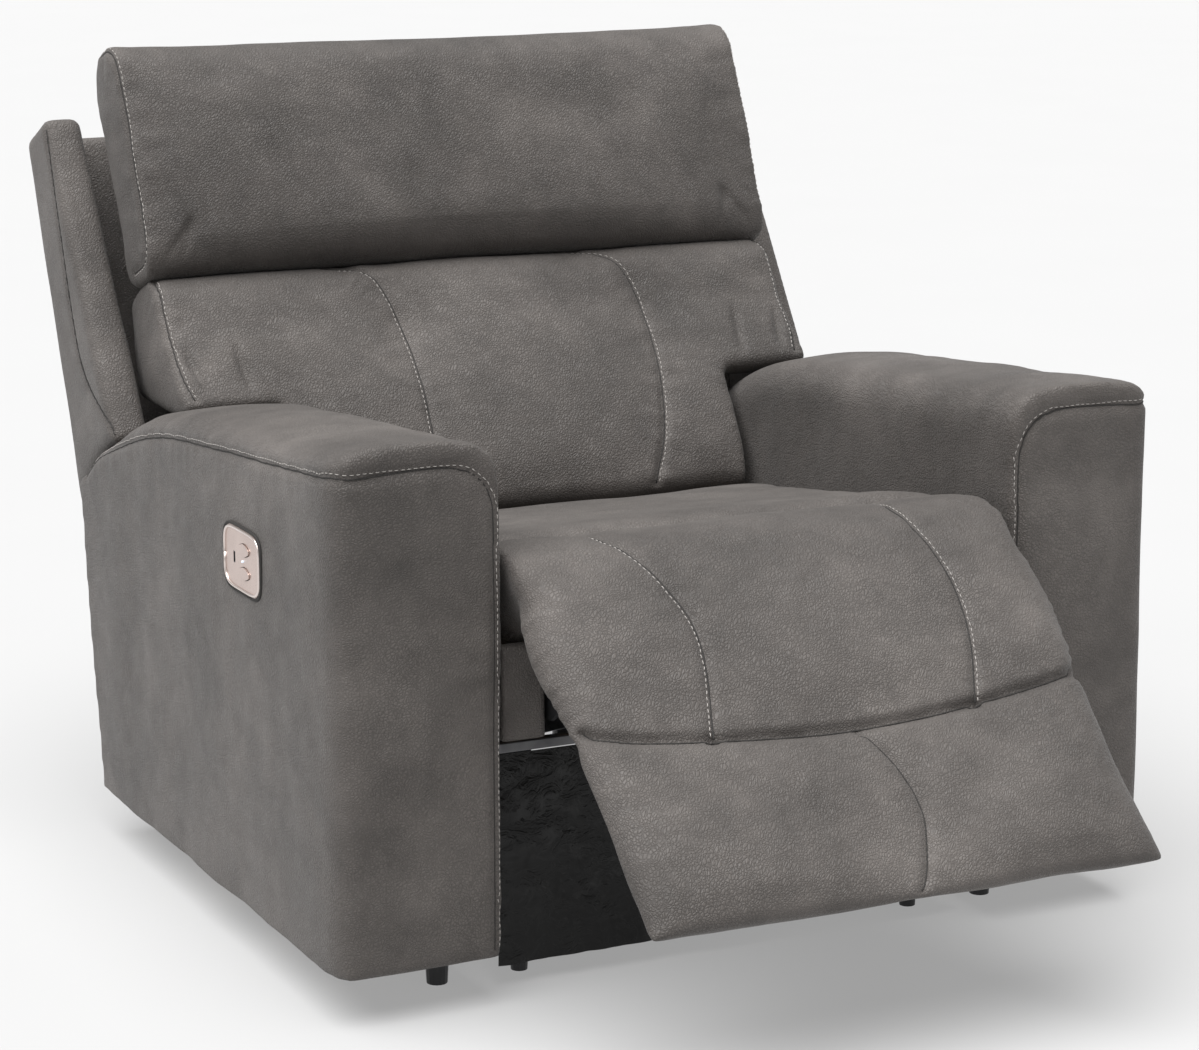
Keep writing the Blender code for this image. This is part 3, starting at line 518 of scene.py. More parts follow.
def remeshed(obj, voxel, smooth):
    """Rebuild a mesh in even faces, with its edges softened by some rounds of smoothing."""
    remesh = obj.modifiers.new("remesh", "REMESH")
    remesh.mode = "VOXEL"
    remesh.voxel_size = voxel
    relax = obj.modifiers.new("relax", "SMOOTH")
    relax.factor = 0.5
    relax.iterations = smooth
    apply_modifiers(obj)
    if not obj.data.materials:
        obj.data.materials.append(LEATHER)
    return obj


def coords(obj):
    co = np.empty(len(obj.data.vertices) * 3)
    obj.data.vertices.foreach_get("co", co)
    return co.reshape(-1, 3)


def normals(obj):
    no = np.empty(len(obj.data.vertices) * 3)
    obj.data.vertices.foreach_get("normal", no)
    return no.reshape(-1, 3)


def set_coords(obj, co):
    obj.data.vertices.foreach_set("co", co.ravel())
    obj.data.update()


def distance_to(points, line):
    """Each point's distance to the nearest point of a line, and the index of that point."""
    tree = KDTree(len(line))
    for i, p in enumerate(line):
        tree.insert(p, i)
    tree.balance()
    found = [tree.find(p) for p in points]
    return np.array([f[2] for f in found]), np.array([f[1] for f in found])


def near(points, line, reach):
    """Indices of the points within reach of a line's box."""
    box = np.array([tuple(p) for p in line])
    return np.where(np.all((points > box.min(0) - reach) & (points < box.max(0) + reach), axis=1))[0]


def on_surface(obj, line):
    """The line's points moved onto a mesh, with the surface's normal at each."""
    tree = BVHTree.FromPolygons([v.co for v in obj.data.vertices], [p.vertices for p in obj.data.polygons])
    found = [tree.find_nearest(p) for p in line]
    return [(f[0], f[1]) for f in found]


def laid(obj, line):
    """A drawn line brought down onto a surface and evened out."""
    path = even([p for p, _ in on_surface(obj, even(line, 0.004))], 0.003)
    for _ in range(6):
        path = [path[0]] + [(a + b + c) / 3 for a, b, c in zip(path, path[1:], path[2:])] + [path[-1]]
    return [p for p, _ in on_surface(obj, path)]


def groove(obj, line, width=0.006, depth=0.0035, fade=False):
    """Press a line into a surface and return it at its new depth.

    With fade, the groove grows shallow towards its ends.
    """
    surface = on_surface(obj, even(line, 0.002))
    line = [p for p, _ in surface]
    co, no = coords(obj), normals(obj)
    chosen = near(co, line, 3 * width)
    distance, index = distance_to(co[chosen], line)
    amount = depth * np.exp(-(distance / width) ** 2)
    if fade:
        t = index / max(1, len(line) - 1)
        amount *= np.sin(np.pi * np.clip(t, 0.02, 0.98)) ** 0.7
    co[chosen] -= no[chosen] * amount[:, None]
    set_coords(obj, co)
    return [p - n * depth for p, n in surface]


def ruffle(obj, line, reach=0.035, height=0.0016, spacing=0.021, seed=0.0):
    """Small gathers across a seam, strongest beside it."""
    line = even(line, 0.002)
    co, no = coords(obj), normals(obj)
    chosen = near(co, line, reach * 1.5)
    distance, index = distance_to(co[chosen], line)
    wave = np.array([noise.noise(Vector((i * 0.002 / spacing, d / 0.05, seed)))
                     for i, d in zip(index, distance)])
    amount = height * wave * np.exp(-(distance / reach) ** 2) * (1 - np.exp(-(distance / 0.006) ** 2))
    co[chosen] += no[chosen] * amount[:, None]
    set_coords(obj, co)


def rumple(obj, height, size, seed=0.0, stretch=(1.0, 1.0, 1.0)):
    """Broad soft unevenness of stuffed leather."""
    co, no = coords(obj), normals(obj)
    scale = Vector(stretch) / size
    wave = np.array([noise.noise(Vector((c[0] * scale.x + seed, c[1] * scale.y, c[2] * scale.z)))
                     for c in co])
    set_coords(obj, co + no * (height * wave)[:, None])


def stitches(name, obj, line, body, material=THREAD, lift=0.0002, offset=0.0):
    """A near-black tube of painted shadow along the fold of a seam, with a row of separate stitches beside it
    unless offset is None.

    A body of None leaves the piece unattached to any body.
    """
    step = STITCH_LENGTH + STITCH_GAP
    path = even(line, step) if offset is not None else []
    surface = on_surface(obj, path)
    if offset:
        moved = []
        for i, (p, n) in enumerate(surface):
            a = surface[max(0, i - 1)][0]
            b = surface[min(len(surface) - 1, i + 1)][0]
            side = (b - a).cross(n)
            moved.append(p + side.normalized() * offset if side.length > 1e-9 else p)
        surface = on_surface(obj, moved)
    verts, faces = [], []
    for (a, na), (b, _) in zip(surface, surface[1:]):
        if (b - a).length < step * 0.4 or (b - a).length > step * 2.0:
            continue
        forward = (b - a).normalized()
        side = forward.cross(na).normalized()
        up = side.cross(forward)
        base = len(verts)
        rings = ((0.0, 0.35, -0.4), (0.18, 0.9, 0.25), (0.5, 1.0, 0.45), (0.82, 0.9, 0.25), (1.0, 0.35, -0.4))
        for t, swell, height in rings:
            centre = a + forward * (STITCH_LENGTH * t) + na * (lift + STITCH_RADIUS * height)
            for k in range(STITCH_SIDES):
                angle = 2 * math.pi * k / STITCH_SIDES
                spoke = side * math.cos(angle) + up * math.sin(angle)
                verts.append(centre + spoke * STITCH_RADIUS * swell)
        for r in range(len(rings) - 1):
            near_ring = base + r * STITCH_SIDES
            far_ring = near_ring + STITCH_SIDES
            for k in range(STITCH_SIDES):
                m = (k + 1) % STITCH_SIDES
                faces.append((near_ring + k, near_ring + m, far_ring + m, far_ring + k))
        faces.append(tuple(base + k for k in reversed(range(STITCH_SIDES))))
        faces.append(tuple(base + (len(rings) - 1) * STITCH_SIDES + k for k in range(STITCH_SIDES)))
    threads = len(faces)
    # The tube along the fold takes SEAM_SHADE: painted shadow in the seam's crease
    fold = [p - n * SEAM_SINK for p, n in on_surface(obj, even(line, 0.004))]
    tube(verts, faces, fold, SEAM_RADIUS)
    piece = mesh_object(name, verts, faces, material)
    piece.data.materials.append(SEAM_SHADE)
    for polygon in piece.data.polygons[threads:]:
        polygon.material_index = 1
    if body is not None:
        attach(piece, body)
    return piece


def tube(verts, faces, path, radius, sides=6):
    """Add a closed thin tube along a path to lists of vertices and faces."""
    base = len(verts)
    for i, p in enumerate(path):
        forward = (path[min(i + 1, len(path) - 1)] - path[max(i - 1, 0)]).normalized()
        if i == 0:
            side = forward.orthogonal().normalized()
        else:
            side = (side - forward * side.dot(forward)).normalized()
        up = forward.cross(side)
        for k in range(sides):
            angle = 2 * math.pi * k / sides
            verts.append(p + (side * math.cos(angle) + up * math.sin(angle)) * radius)
    for i in range(len(path) - 1):
        for k in range(sides):
            m = (k + 1) % sides
            a = base + i * sides
            faces.append((a + k, a + m, a + sides + m, a + sides + k))
    faces.append(tuple(base + k for k in reversed(range(sides))))
    faces.append(tuple(base + (len(path) - 1) * sides + k for k in range(sides)))


def evened(obj, move, pinned):
    """Movements shared between neighbouring vertices, so that only broad swelling is left."""
    ends = np.empty(len(obj.data.edges) * 2, dtype=np.int64)
    obj.data.edges.foreach_get("vertices", ends)
    a, b = ends.reshape(-1, 2).T
    count = np.bincount(a, minlength=len(move)) + np.bincount(b, minlength=len(move))
    for _ in range(EVENING_ROUNDS):
        total = np.empty_like(move)
        for axis in range(3):
            total[:, axis] = (np.bincount(a, move[b, axis], len(move))
                              + np.bincount(b, move[a, axis], len(move)))
        move = 0.4 * move + 0.6 * total / np.maximum(count, 1)[:, None]
        move[pinned] *= 0.3
    return move


def inflate(obj, seams, cap, pressure):
    """Swell a closed piece by cloth simulation, by no more than about cap.

    Its seams are held, so they stay drawn in.
    """
    start, facing = coords(obj), normals(obj)
    group = obj.vertex_groups.new(name="held")
    pinned = []
    for line in seams:
        line = even(line, 0.003)
        chosen = near(start, line, HELD_REACH * 2)
        distance, _ = distance_to(start[chosen], line)
        for i, d in zip(chosen, distance):
            if d < HELD_REACH:
                pinned.append(int(i))
    group.add(pinned, 1.0, "REPLACE")
    cloth = obj.modifiers.new("cloth", "CLOTH")
    settings = cloth.settings
    settings.quality = 4
    settings.mass = 0.3
    settings.tension_stiffness = CLOTH_STIFFNESS
    settings.compression_stiffness = CLOTH_STIFFNESS
    settings.shear_stiffness = 5.0
    settings.bending_stiffness = 1.5
    settings.use_pressure = True
    settings.uniform_pressure_force = pressure
    settings.effector_weights.gravity = 0.0
    settings.vertex_group_mass = "held"
    settings.pin_stiffness = 1.0
    cloth.collision_settings.use_collision = False
    cloth.collision_settings.use_self_collision = False
    cloth.point_cache.frame_start = 1
    cloth.point_cache.frame_end = CLOTH_FRAMES
    scene = bpy.context.scene
    for number in range(1, CLOTH_FRAMES + 1):
        scene.frame_set(number)
    apply_modifiers(obj)
    scene.frame_set(1)
    end = coords(obj)
    outward = np.einsum("ij,ij->i", end - start, facing)
    move = end - start - facing * (np.minimum(outward, 0.0) * INWARD_SHARE_DROPPED)[:, None]
    length = np.linalg.norm(move, axis=1)
    scale = np.where(length > 1e-9, cap * np.tanh(length / cap) / np.maximum(length, 1e-9), 0.0)
    set_coords(obj, start + evened(obj, move * scale[:, None], pinned))
    obj.vertex_groups.clear()


def finer(obj):
    """Divide every face in four, for seams and gathers finer than the simulated mesh."""
    subdivide = obj.modifiers.new("finer", "SUBSURF")
    subdivide.levels = 1
    subdivide.render_levels = 1
    return apply_modifiers(obj)


def shifted(obj):
    """Move a mesh from the chair's own layout into the row frame."""
    obj.data.transform(Matrix.Translation((0.0, SHIFT_Y, 0.0)))
    return obj


def settle(obj, body, node):
    """Hang a finished piece on its body, in place of its CAD node."""
    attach(obj, body)
    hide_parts(node)


# ---------------------------------------------------------------- arms


def arm_crown(y):
    """Height of the arm's crown above its outer seam."""
    fade = min(1.0, max(0.0, (0.50 - y) / 0.22))
    return ARM_CROWN * fade * fade * (3 - 2 * fade) + 0.002


def arm_section(seam_z, crown):
    """(distance from the arm's outer face, z) round an arm, from inner foot over the top to outer foot."""
    width = ARM_WIDTH
    top = seam_z + crown
    inner_radius = 0.046
    points = [(width, ARM_BOTTOM_Z + (top - inner_radius - ARM_BOTTOM_Z) * k / 10) for k in range(11)]
    for k in range(1, 7):
        angle = math.pi / 2 * k / 6
        points.append((width - inner_radius + inner_radius * math.cos(angle),
                       top - inner_radius + inner_radius * math.sin(angle)))
    outer_reach = 0.050
    for k in range(1, 6):
        t = k / 5
        x = width - inner_radius + (outer_reach - width + inner_radius) * t
        points.append((x, top + 0.0035 * math.sin(math.pi * t)))
    for k in range(1, 9):
        angle = math.pi / 2 * k / 8
        z = seam_z + crown * math.cos(angle) ** 0.9 if k < 8 else seam_z
        points.append((outer_reach - outer_reach * math.sin(angle), z))
    for k in range(1, 11):
        points.append((0.0, seam_z + (ARM_BOTTOM_Z - seam_z) * k / 10))
    return points


def arm_shape(name, side):
    """The closed outer shape of an arm, lofted from front to rear."""
    corner, corner_inset = 0.040, 0.019
    round_corner = [0.0, 0.0015, 0.005, 0.010, 0.016, 0.023, 0.031, corner]
    length = ARM_REAR_TOP_Y - ARM_FRONT_Y
    stations = [d / length for d in round_corner]
    stations += [(corner + (length - corner) * k / 42) / length for k in range(1, 43)]
    verts, faces = [], []
    for s in stations:
        top_y = ARM_FRONT_Y + s * length
        section = arm_section(spread(ARM_SEAM, top_y), arm_crown(top_y))
        behind = top_y - ARM_FRONT_Y
        inset = 0.0
        if behind < corner - 1e-6:
            inset = corner_inset * (1 - math.sqrt(max(0.0, 1 - (1 - behind / corner) ** 2)))
        for across, z in section:
            slope = (z - ARM_BOTTOM_Z) / (ARM_SEAM[-1][1] - ARM_BOTTOM_Z)
            rear = ARM_REAR_BOTTOM_Y + (ARM_REAR_TOP_Y - ARM_REAR_BOTTOM_Y) * min(1.0, slope)
            y = ARM_FRONT_Y + s * (rear - ARM_FRONT_Y)
            pull = inset * max(0.0, 1.0 - across / 0.06)
            verts.append((side * (ARM_OUTER_X - across - pull), y, z))
    count = len(section)
    for r in range(len(stations) - 1):
        for k in range(count):
            m = (k + 1) % count
            faces.append((r * count + k, r * count + m, (r + 1) * count + m, (r + 1) * count + k))
    faces.append(tuple(range(count)))
    faces.append(tuple((len(stations) - 1) * count + k for k in reversed(range(count))))
    obj = mesh_object(name, verts, faces)
    fix_normals(obj)
    return obj


def arm_seam_line(side):
    """The stitched seam: along the outer top edge, across the front and down its inner edge."""
    outer = [(side * (ARM_OUTER_X + 0.002), y, spread(ARM_SEAM, y)) for y in np.linspace(0.530, -0.318, 22)]
    z = ARM_SEAM[0][1]
    front_y = ARM_FRONT_Y - 0.002
    front = [
        (side * 0.533, -0.342, z),
        (side * 0.518, front_y, z - 0.001),
        (side * 0.480, front_y, z + 0.001),
        (side * 0.420, front_y, z + 0.003),
        (side * 0.385, front_y, z - 0.001),
        (side * 0.362, front_y, z - 0.014),
        (side * 0.349, front_y, z - 0.036),
        (side * 0.345, front_y, z - 0.070),
        (side * 0.344, front_y, 0.400),
        (side * 0.344, front_y, 0.230),
        (side * 0.344, front_y, 0.068),
    ]
    return catmull(outer + front)


def arm(side):
    """One upholstered arm with its seam and stitching; side is 1 for the left and -1 for the right."""
    label = "left" if side > 0 else "right"
    obj = arm_shape("arm_upholstery_" + label, side)
    remeshed(obj, ARM_VOXEL, 6)
    swell_arm(obj, side)
    rumple(obj, 0.0030, 0.16, seed=3.0 * side, stretch=(1.0, 1.6, 0.7))
    rumple(obj, 0.0006, 0.05, seed=7.0 * side, stretch=(1.0, 1.5, 0.8))
    shifted(obj)
    line = laid(obj, placed(arm_seam_line(side)))
    line = groove(obj, line, width=0.0055, depth=0.0042)
    ruffle(obj, line, seed=side)
    settle(obj, "base", "arm_cover_" + label)
    stitches("arm_stitching_" + label, obj, line, "base", offset=0.0055 * side)


def swell_arm(obj, side):
    """Let the arm's big flat faces stand slightly proud in their middles."""
    def hump(share):
        return np.clip(np.sin(np.pi * np.clip(share, 0, 1)), 0, 1)

    co = coords(obj)
    across = (side * co[:, 0] - ARM_INNER_X) / ARM_WIDTH
    up = (co[:, 2] - ARM_BOTTOM_Z) / 0.58
    along = (co[:, 1] - ARM_FRONT_Y) / 0.88
    outward = np.clip((across - 0.5) * 2, -1, 1)
    co[:, 0] += side * outward * (hump(up) * hump(along)) * 0.005
    front = np.clip(1 - (co[:, 1] - ARM_FRONT_Y) / 0.03, 0, 1)
    co[:, 1] -= front * (hump(across) * hump(up) ** 0.5) * 0.007
    set_coords(obj, co)


# ---------------------------------------------------------------- cushions


def rounded(points, radius, steps=4):
    """A closed outline with its corners rounded."""
    result = []
    for i, corner in enumerate(points):
        here = Vector(corner)
        before = Vector(points[i - 1]) - here
        after = Vector(points[(i + 1) % len(points)]) - here
        reach = min(radius, before.length * 0.45, after.length * 0.45)
        start, end = here + before.normalized() * reach, here + after.normalized() * reach
        for k in range(steps + 1):
            t = k / steps
            p = start * (1 - t) ** 2 + here * (2 * t * (1 - t)) + end * t ** 2
            result.append((p.x, p.y))
    return result


def head_cushion():
    """The head cushion: a wide pillow with boxed ends and a stitched seam round each end."""
    profile = [on_back(u, r) for u, r in (
        (0.4220, -0.0260), (0.4230, -0.0660), (0.4520, -0.0850), (0.5700, -0.0870), (0.6500, -0.0830),
        (0.7200, -0.0760), (0.7450, -0.0520), (0.7500, -0.0200), (0.7430, 0.0060), (0.7060, 0.0280),
        (0.5600, 0.0310), (0.4450, 0.0260), (0.4240, 0.0060))]
    obj = extruded("head_pillow", rounded(profile, 0.018), -0.459, 0.459)
    remeshed(obj, CUSHION_VOXEL, 4)
    seams = []
    for side in (-1, 1):
        edge = [(side * 0.462, *on_back(u, r)) for u, r in (
            (0.4440, -0.0150), (0.4450, -0.0560), (0.4620, -0.0760), (0.5700, -0.0800),
            (0.6600, -0.0780), (0.7200, -0.0710), (0.7420, -0.0450), (0.7450, -0.0150))]
        seams.append(catmull(edge))
    seams = [laid(obj, line) for line in seams]
    inflate(obj, seams, cap=0.017, pressure=5.0)
    finer(obj)
    shifted(obj)
    lines = [laid(obj, placed(line)) for line in seams]
    rumple(obj, 0.0036, 0.14, seed=1.3, stretch=(0.7, 1.0, 1.6))
    rumple(obj, 0.0006, 0.045, seed=2.1, stretch=(0.8, 1.0, 1.4))
    for side in (-1, 1):
        for x, slant in ((0.412, 0.012), (0.385, -0.006), (0.432, 0.02)):
            pucker = [(side * x, *on_back(0.448, -0.070)), (side * (x - slant), *on_back(0.470, -0.083)),
                      (side * (x - slant * 2), *on_back(0.500, -0.086))]
            groove(obj, catmull(placed(pucker)), width=0.006, depth=0.0028, fade=True)
    settle(obj, "headrest", "head_cushion")
    for side, line in zip((-1, 1), lines):
        line = groove(obj, line, width=0.005, depth=0.0034)
        ruffle(obj, line, reach=0.045, height=0.0026, spacing=0.024, seed=side)
        label = "left" if side > 0 else "right"
        stitches("head_stitching_" + label, obj, line, "headrest", offset=-0.0045 * side)


def lumbar_seams():
    """The two curved seams of the lumbar cushion, and the stitched ones near its ends."""
    right = [(-0.205, 0.498, 0.790), (-0.165, 0.478, 0.767), (-0.140, 0.448, 0.715), (-0.128, 0.421, 0.672),
             (-0.124, 0.375, 0.600), (-0.130, 0.325, 0.522), (-0.140, 0.285, 0.450)]
    left = [(0.160, 0.498, 0.790), (0.193, 0.478, 0.767), (0.222, 0.445, 0.715), (0.232, 0.421, 0.672),
            (0.228, 0.375, 0.600), (0.208, 0.322, 0.510), (0.178, 0.285, 0.450)]
    ends = []
    for side in (-1, 1):
        ends.append([(side * 0.452, 0.497, 0.757), (side * 0.455, 0.465, 0.725), (side * 0.455, 0.430, 0.674),
                     (side * 0.450, 0.388, 0.630), (side * 0.440, 0.362, 0.600)])
    return [catmull(line) for line in (right, left, *ends)]


def lumbar_cushion():
    """The lower back cushion: wide above the arms and narrow between them."""
    top = [on_back(u, r) for u, r in (
        (0.426, 0.0450), (0.430, -0.0150), (0.429, -0.0540), (0.408, -0.0840), (0.3400, -0.0950))]
    wide = top + [(0.350, 0.588), (0.372, 0.574), (0.470, 0.574), on_back(0.290, 0.0580)]
    narrow = top + [(0.350, 0.588), (0.318, 0.545), (0.288, 0.500), (0.266, 0.450), (0.276, 0.428),
                    (0.330, 0.424), (0.405, 0.440), on_back(0.210, 0.0480), on_back(0.300, 0.0580)]
    obj = joined("lumbar_pillow", [extruded("wide", rounded(wide, 0.018), -0.456, 0.456),
                                   extruded("narrow", rounded(narrow, 0.018), -0.322, 0.322)])
    remeshed(obj, CUSHION_VOXEL, 4)
    seams = [laid(obj, line) for line in lumbar_seams()]
    inflate(obj, seams, cap=0.015, pressure=4.5)
    finer(obj)
    shifted(obj)
    lines = [laid(obj, placed(line)) for line in seams]
    rumple(obj, 0.0034, 0.13, seed=5.3, stretch=(0.8, 1.0, 1.3))
    rumple(obj, 0.0006, 0.045, seed=6.1, stretch=(1.0, 1.0, 1.2))
    for side in (-1, 1):
        for x, dx in ((0.360, 0.004), (0.420, 0.008)):
            pucker = [(side * x, 0.372, 0.600), (side * (x + dx), 0.392, 0.632),
                      (side * (x + 2 * dx), 0.412, 0.660)]
            groove(obj, catmull(placed(pucker)), width=0.0060, depth=0.0065, fade=True)
    settle(obj, "back", "lumbar_cushion")
    for number, line in enumerate(lines):
        line = groove(obj, line, width=0.0055, depth=0.0045)
        ruffle(obj, line, reach=0.04, height=0.0024, seed=number + 0.5)
        offset = 0.0045 if number in (0, 3) else -0.0045
        stitches("lumbar_stitching_%d" % number, obj, line, "back", offset=offset)


# The pad's outline from the side: its face from the rear of the seat to the footrest's lower end, then back.
PAD_TOP = [(0.262, 0.434), (0.150, 0.450), (0.000, 0.471), (-0.120, 0.492), (-0.200, 0.509), (-0.235, 0.516),
           (-0.275, 0.529), (-0.315, 0.535), (-0.355, 0.529), (-0.395, 0.507), (-0.435, 0.472),
           (-0.475, 0.433)]
PAD_TOP += [on_footrest(a, o) for a, o in (
    (0.110, 0.064), (0.150, 0.058), (0.190, 0.058), (0.250, 0.060), (0.320, 0.060), (0.370, 0.056),
    (0.404, 0.048))]
PAD_UNDER = [on_footrest(a, o) for a, o in (
    (0.400, 0.034), (0.378, 0.008), (0.352, -0.016), (0.335, -0.022), (0.200, -0.022), (0.088, -0.021),
    (0.070, -0.004), (0.045, 0.012))]
PAD_UNDER += [(-0.400, 0.450), (-0.365, 0.455), (-0.330, 0.440), (-0.300, 0.412), (-0.280, 0.404),
              (0.235, 0.404), (0.258, 0.416)]
PAD_HALF_WIDTH = 0.327


def pad_seams():
    """The pad's seams: two down its upper section, one across, one down its lower section, the crest."""
    right = [(-0.204, -0.240, 0.518), (-0.202, -0.270, 0.528), (-0.196, -0.330, 0.534),
             (-0.180, -0.375, 0.522)]
    right += [(x, *on_footrest(a, 0.066)) for x, a in (
        (-0.165, -0.038), (-0.148, 0.013), (-0.146, 0.061), (-0.158, 0.125), (-0.172, 0.176))]
    left = [(0.190, -0.240, 0.518), (0.188, -0.270, 0.528), (0.185, -0.330, 0.534), (0.188, -0.375, 0.522)]
    left += [(x, *on_footrest(a, 0.066)) for x, a in (
        (0.196, -0.030), (0.202, 0.013), (0.200, 0.060), (0.186, 0.120), (0.168, 0.174))]
    across = [(x, *on_footrest(a, 0.056)) for x, a in (
        (-0.329, 0.146), (-0.295, 0.156), (-0.258, 0.165), (-0.176, 0.176), (-0.090, 0.183), (0.000, 0.186),
        (0.090, 0.182), (0.170, 0.174), (0.255, 0.163), (0.295, 0.155), (0.329, 0.148))]
    lower = [(x, *on_footrest(a, 0.058)) for x, a in (
        (0.008, 0.187), (0.034, 0.243), (0.042, 0.300), (0.026, 0.353), (0.004, 0.404))]
    crest = [(x, -0.232, 0.516) for x in (-0.320, -0.2, -0.1, 0.0, 0.1, 0.2, 0.320)]
    return [catmull(line) for line in (right, left, across, lower, crest)]


def seat_pad():
    """One long pad: the seat, over its front and down the footrest."""
    outline = PAD_TOP + PAD_UNDER
    obj = extruded("seat_and_footrest_pad", outline, -PAD_HALF_WIDTH, PAD_HALF_WIDTH)
    remeshed(obj, CUSHION_VOXEL, 4)
    round_pad_sides(obj)
    seams = [laid(obj, line) for line in pad_seams()]
    inflate(obj, seams, cap=0.014, pressure=4.5)
    finer(obj)
    shifted(obj)
    lines = [laid(obj, placed(line)) for line in seams]
    rumple(obj, 0.0034, 0.13, seed=9.3, stretch=(0.9, 1.3, 1.3))
    rumple(obj, 0.0006, 0.045, seed=8.1)
    gather_pad_sides(obj)
    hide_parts("seat_cushion", "footrest_pad_upper", "footrest_pad_lower", "footrest_board")
    pieces = [obj]
    # Groove width, groove depth and stitch offset of each seam
    shapes = ((0.0055, 0.0042, 0.0045), (0.0055, 0.0042, -0.0045), (0.0070, 0.0085, None),
              (0.0055, 0.0042, None), (0.011, 0.006, None))
    for number, (line, (width, depth, offset)) in enumerate(zip(lines, shapes)):
        line = groove(obj, line, width=width, depth=depth)
        ruffle(obj, line, reach=0.04, height=0.0020, seed=number + 20.5)
        pieces.append(stitches("seat_seam_%d" % number, obj, line, None, offset=offset))
    for piece in pieces:
        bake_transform(piece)


def seat_rear_deck():
    """Thin padded strip that carries the seat back, so that no gap opens there when it reclines."""
    outline = [(0.245, 0.398), (0.245, 0.425), (0.300, 0.420), (0.385, 0.412), (0.402, 0.405),
               (0.392, 0.396), (0.300, 0.395)]
    obj = extruded("seat_rear_deck", rounded(outline, 0.008), -0.248, 0.248)
    remeshed(obj, 0.005, 3)
    rumple(obj, 0.0015, 0.08, seed=51.0)
    shifted(obj)
    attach(obj, "seat")


def footrest_place(co):
    """How far down the footrest, and out of its face, each point lies."""
    sin, cos = math.sin(FOOTREST_SLOPE), math.cos(FOOTREST_SLOPE)
    y, z = co[:, 1] - FOOTREST_PIVOT[0], co[:, 2] - FOOTREST_PIVOT[1]
    return -y * cos - z * sin, -y * sin + z * cos


def round_pad_sides(obj):
    """In front of the arms, roll the pad's side edges under and let its upper section bulge outward."""
    co = coords(obj)
    along, out = footrest_place(co)
    sin, cos = math.sin(FOOTREST_SLOPE), math.cos(FOOTREST_SLOPE)
    share = np.clip((along + 0.100) / 0.085, 0, 1)
    share = share * share * (3 - 2 * share)
    beside = np.abs(co[:, 0]) / PAD_HALF_WIDTH
    reach = 0.040 / PAD_HALF_WIDTH
    t = np.clip((beside - 1 + reach) / reach, 0, 1)
    drop = np.where(out > 0.036, (out - 0.036) * (1 - np.sqrt(1 - 0.98 * t ** 2)), 0.0) * share
    co[:, 1] += sin * drop
    co[:, 2] -= cos * drop
    undercut = 0.58 * np.clip(0.040 - out, 0, 0.07)
    bulge = 0.014 * np.exp(-((along - 0.030) / 0.075) ** 2)
    waist = 0.005 * np.exp(-((along - 0.150) / 0.014) ** 2)
    flare = 0.004 * np.clip((along - 0.345) / 0.055, 0, 1.2) ** 2
    co[:, 0] += np.sign(co[:, 0]) * beside ** 5 * (bulge + flare - waist - undercut) * share
    set_coords(obj, co)


def gather_pad_sides(obj):
    """Small gathers down the two side edges of the footrest's upper section."""
    for side in (-1, 1):
        line = [(side * 0.334, *on_footrest(a, 0.030)) for a in (-0.030, 0.010, 0.050, 0.090, 0.140)]
        ruffle(obj, catmull(placed(line)), reach=0.024, height=0.0065, spacing=0.012, seed=40.0 + side)


# ---------------------------------------------------------------- firm upholstery


def upholstered(name, node, body, seed, voxel=0.006, smooth=6, swell=0.002):
    """A firm padded panel, taken from its CAD node's shape."""
    obj = bpy.data.objects.new(name, frame["nodes"][node].data.copy())
    bpy.context.scene.collection.objects.link(obj)
    obj.data.materials.clear()
    obj.data.materials.append(LEATHER)
    remeshed(obj, voxel, smooth)
    co, no = coords(obj), normals(obj)
    set_coords(obj, co + no * swell)
    rumple(obj, 0.0016, 0.10, seed=seed)
    settle(obj, body, node)
    return obj


def firm_panels():
    """Wings with their stitched edge, outside back, headrest and frame covers, and the seat's apron."""
    for side in (-1, 1):
        label = "left" if side > 0 else "right"
        wing = upholstered("wing_upholstery_" + label, "back_wing_" + label, "back", seed=11.0 * side)
        x = side * 0.5225
        line = catmull(placed([(x, 0.456, 0.548), (x, *on_back(0.350, 0.0690)), (x, *on_back(0.520, 0.0690)),
                               (x, *on_back(0.670, 0.0700))]))
        groove(wing, line, width=0.0045, depth=0.0030)
        stitches("wing_stitching_" + label, wing, line, "back", DARK_THREAD)
    upholstered("outside_back_upper", "back_panel_upper", "back", seed=31.0)
    upholstered("outside_back_lower", "back_panel_lower", "back", seed=37.0)
    upholstered("headrest_rear_cover", "headrest_board", "headrest", seed=47.0)
    upholstered("back_frame_cover", "back_frame", "back", seed=53.0)
    upholstered("seat_apron_cover", "seat_apron", "seat", seed=41.0, voxel=0.004, smooth=4, swell=0.0008)


# ---------------------------------------------------------------- liner and panel


def ring_line(half_y, half_z, corner, x):
    """A rounded rectangle round the control panel's middle, with its first point again at its end."""
    points = []
    for k in range(61):
        angle = 2 * math.pi * k / 60
        c, d = math.cos(angle), math.sin(angle)
        y = math.copysign(abs(c) ** corner, c) * half_y
        z = math.copysign(abs(d) ** corner, d) * half_z
        points.append(Vector((x, CONTROL_Y + y + SHIFT_Y, CONTROL_Z + z)))
    return points


def panel_rim():
    """Bevelled edge of the control panel, coloured a lighter champagne as a painted highlight, and a
    near-black ring round it as a painted shadow in the gap it leaves in the leather.
    """
    # The rim's lighter champagne is a painted highlight; the gap ring's near-black is a painted shadow
    for name, size, x, radius, material, slot in (
            ("control_rim_painted_highlight", (0.0565, 0.0355), -0.5436, 0.0019, CHAMPAGNE_HIGHLIGHT_RIM, "champagne"),
            ("control_gap_painted_shadow", (0.0605, 0.0395), -0.5424, 0.0021, SEAM_SHADE, "leather")):
        verts, faces = [], []
        tube(verts, faces, ring_line(*size, 0.42, x), radius, sides=10)
        piece = mesh_object(name, verts, faces, material)
        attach(piece, "base")


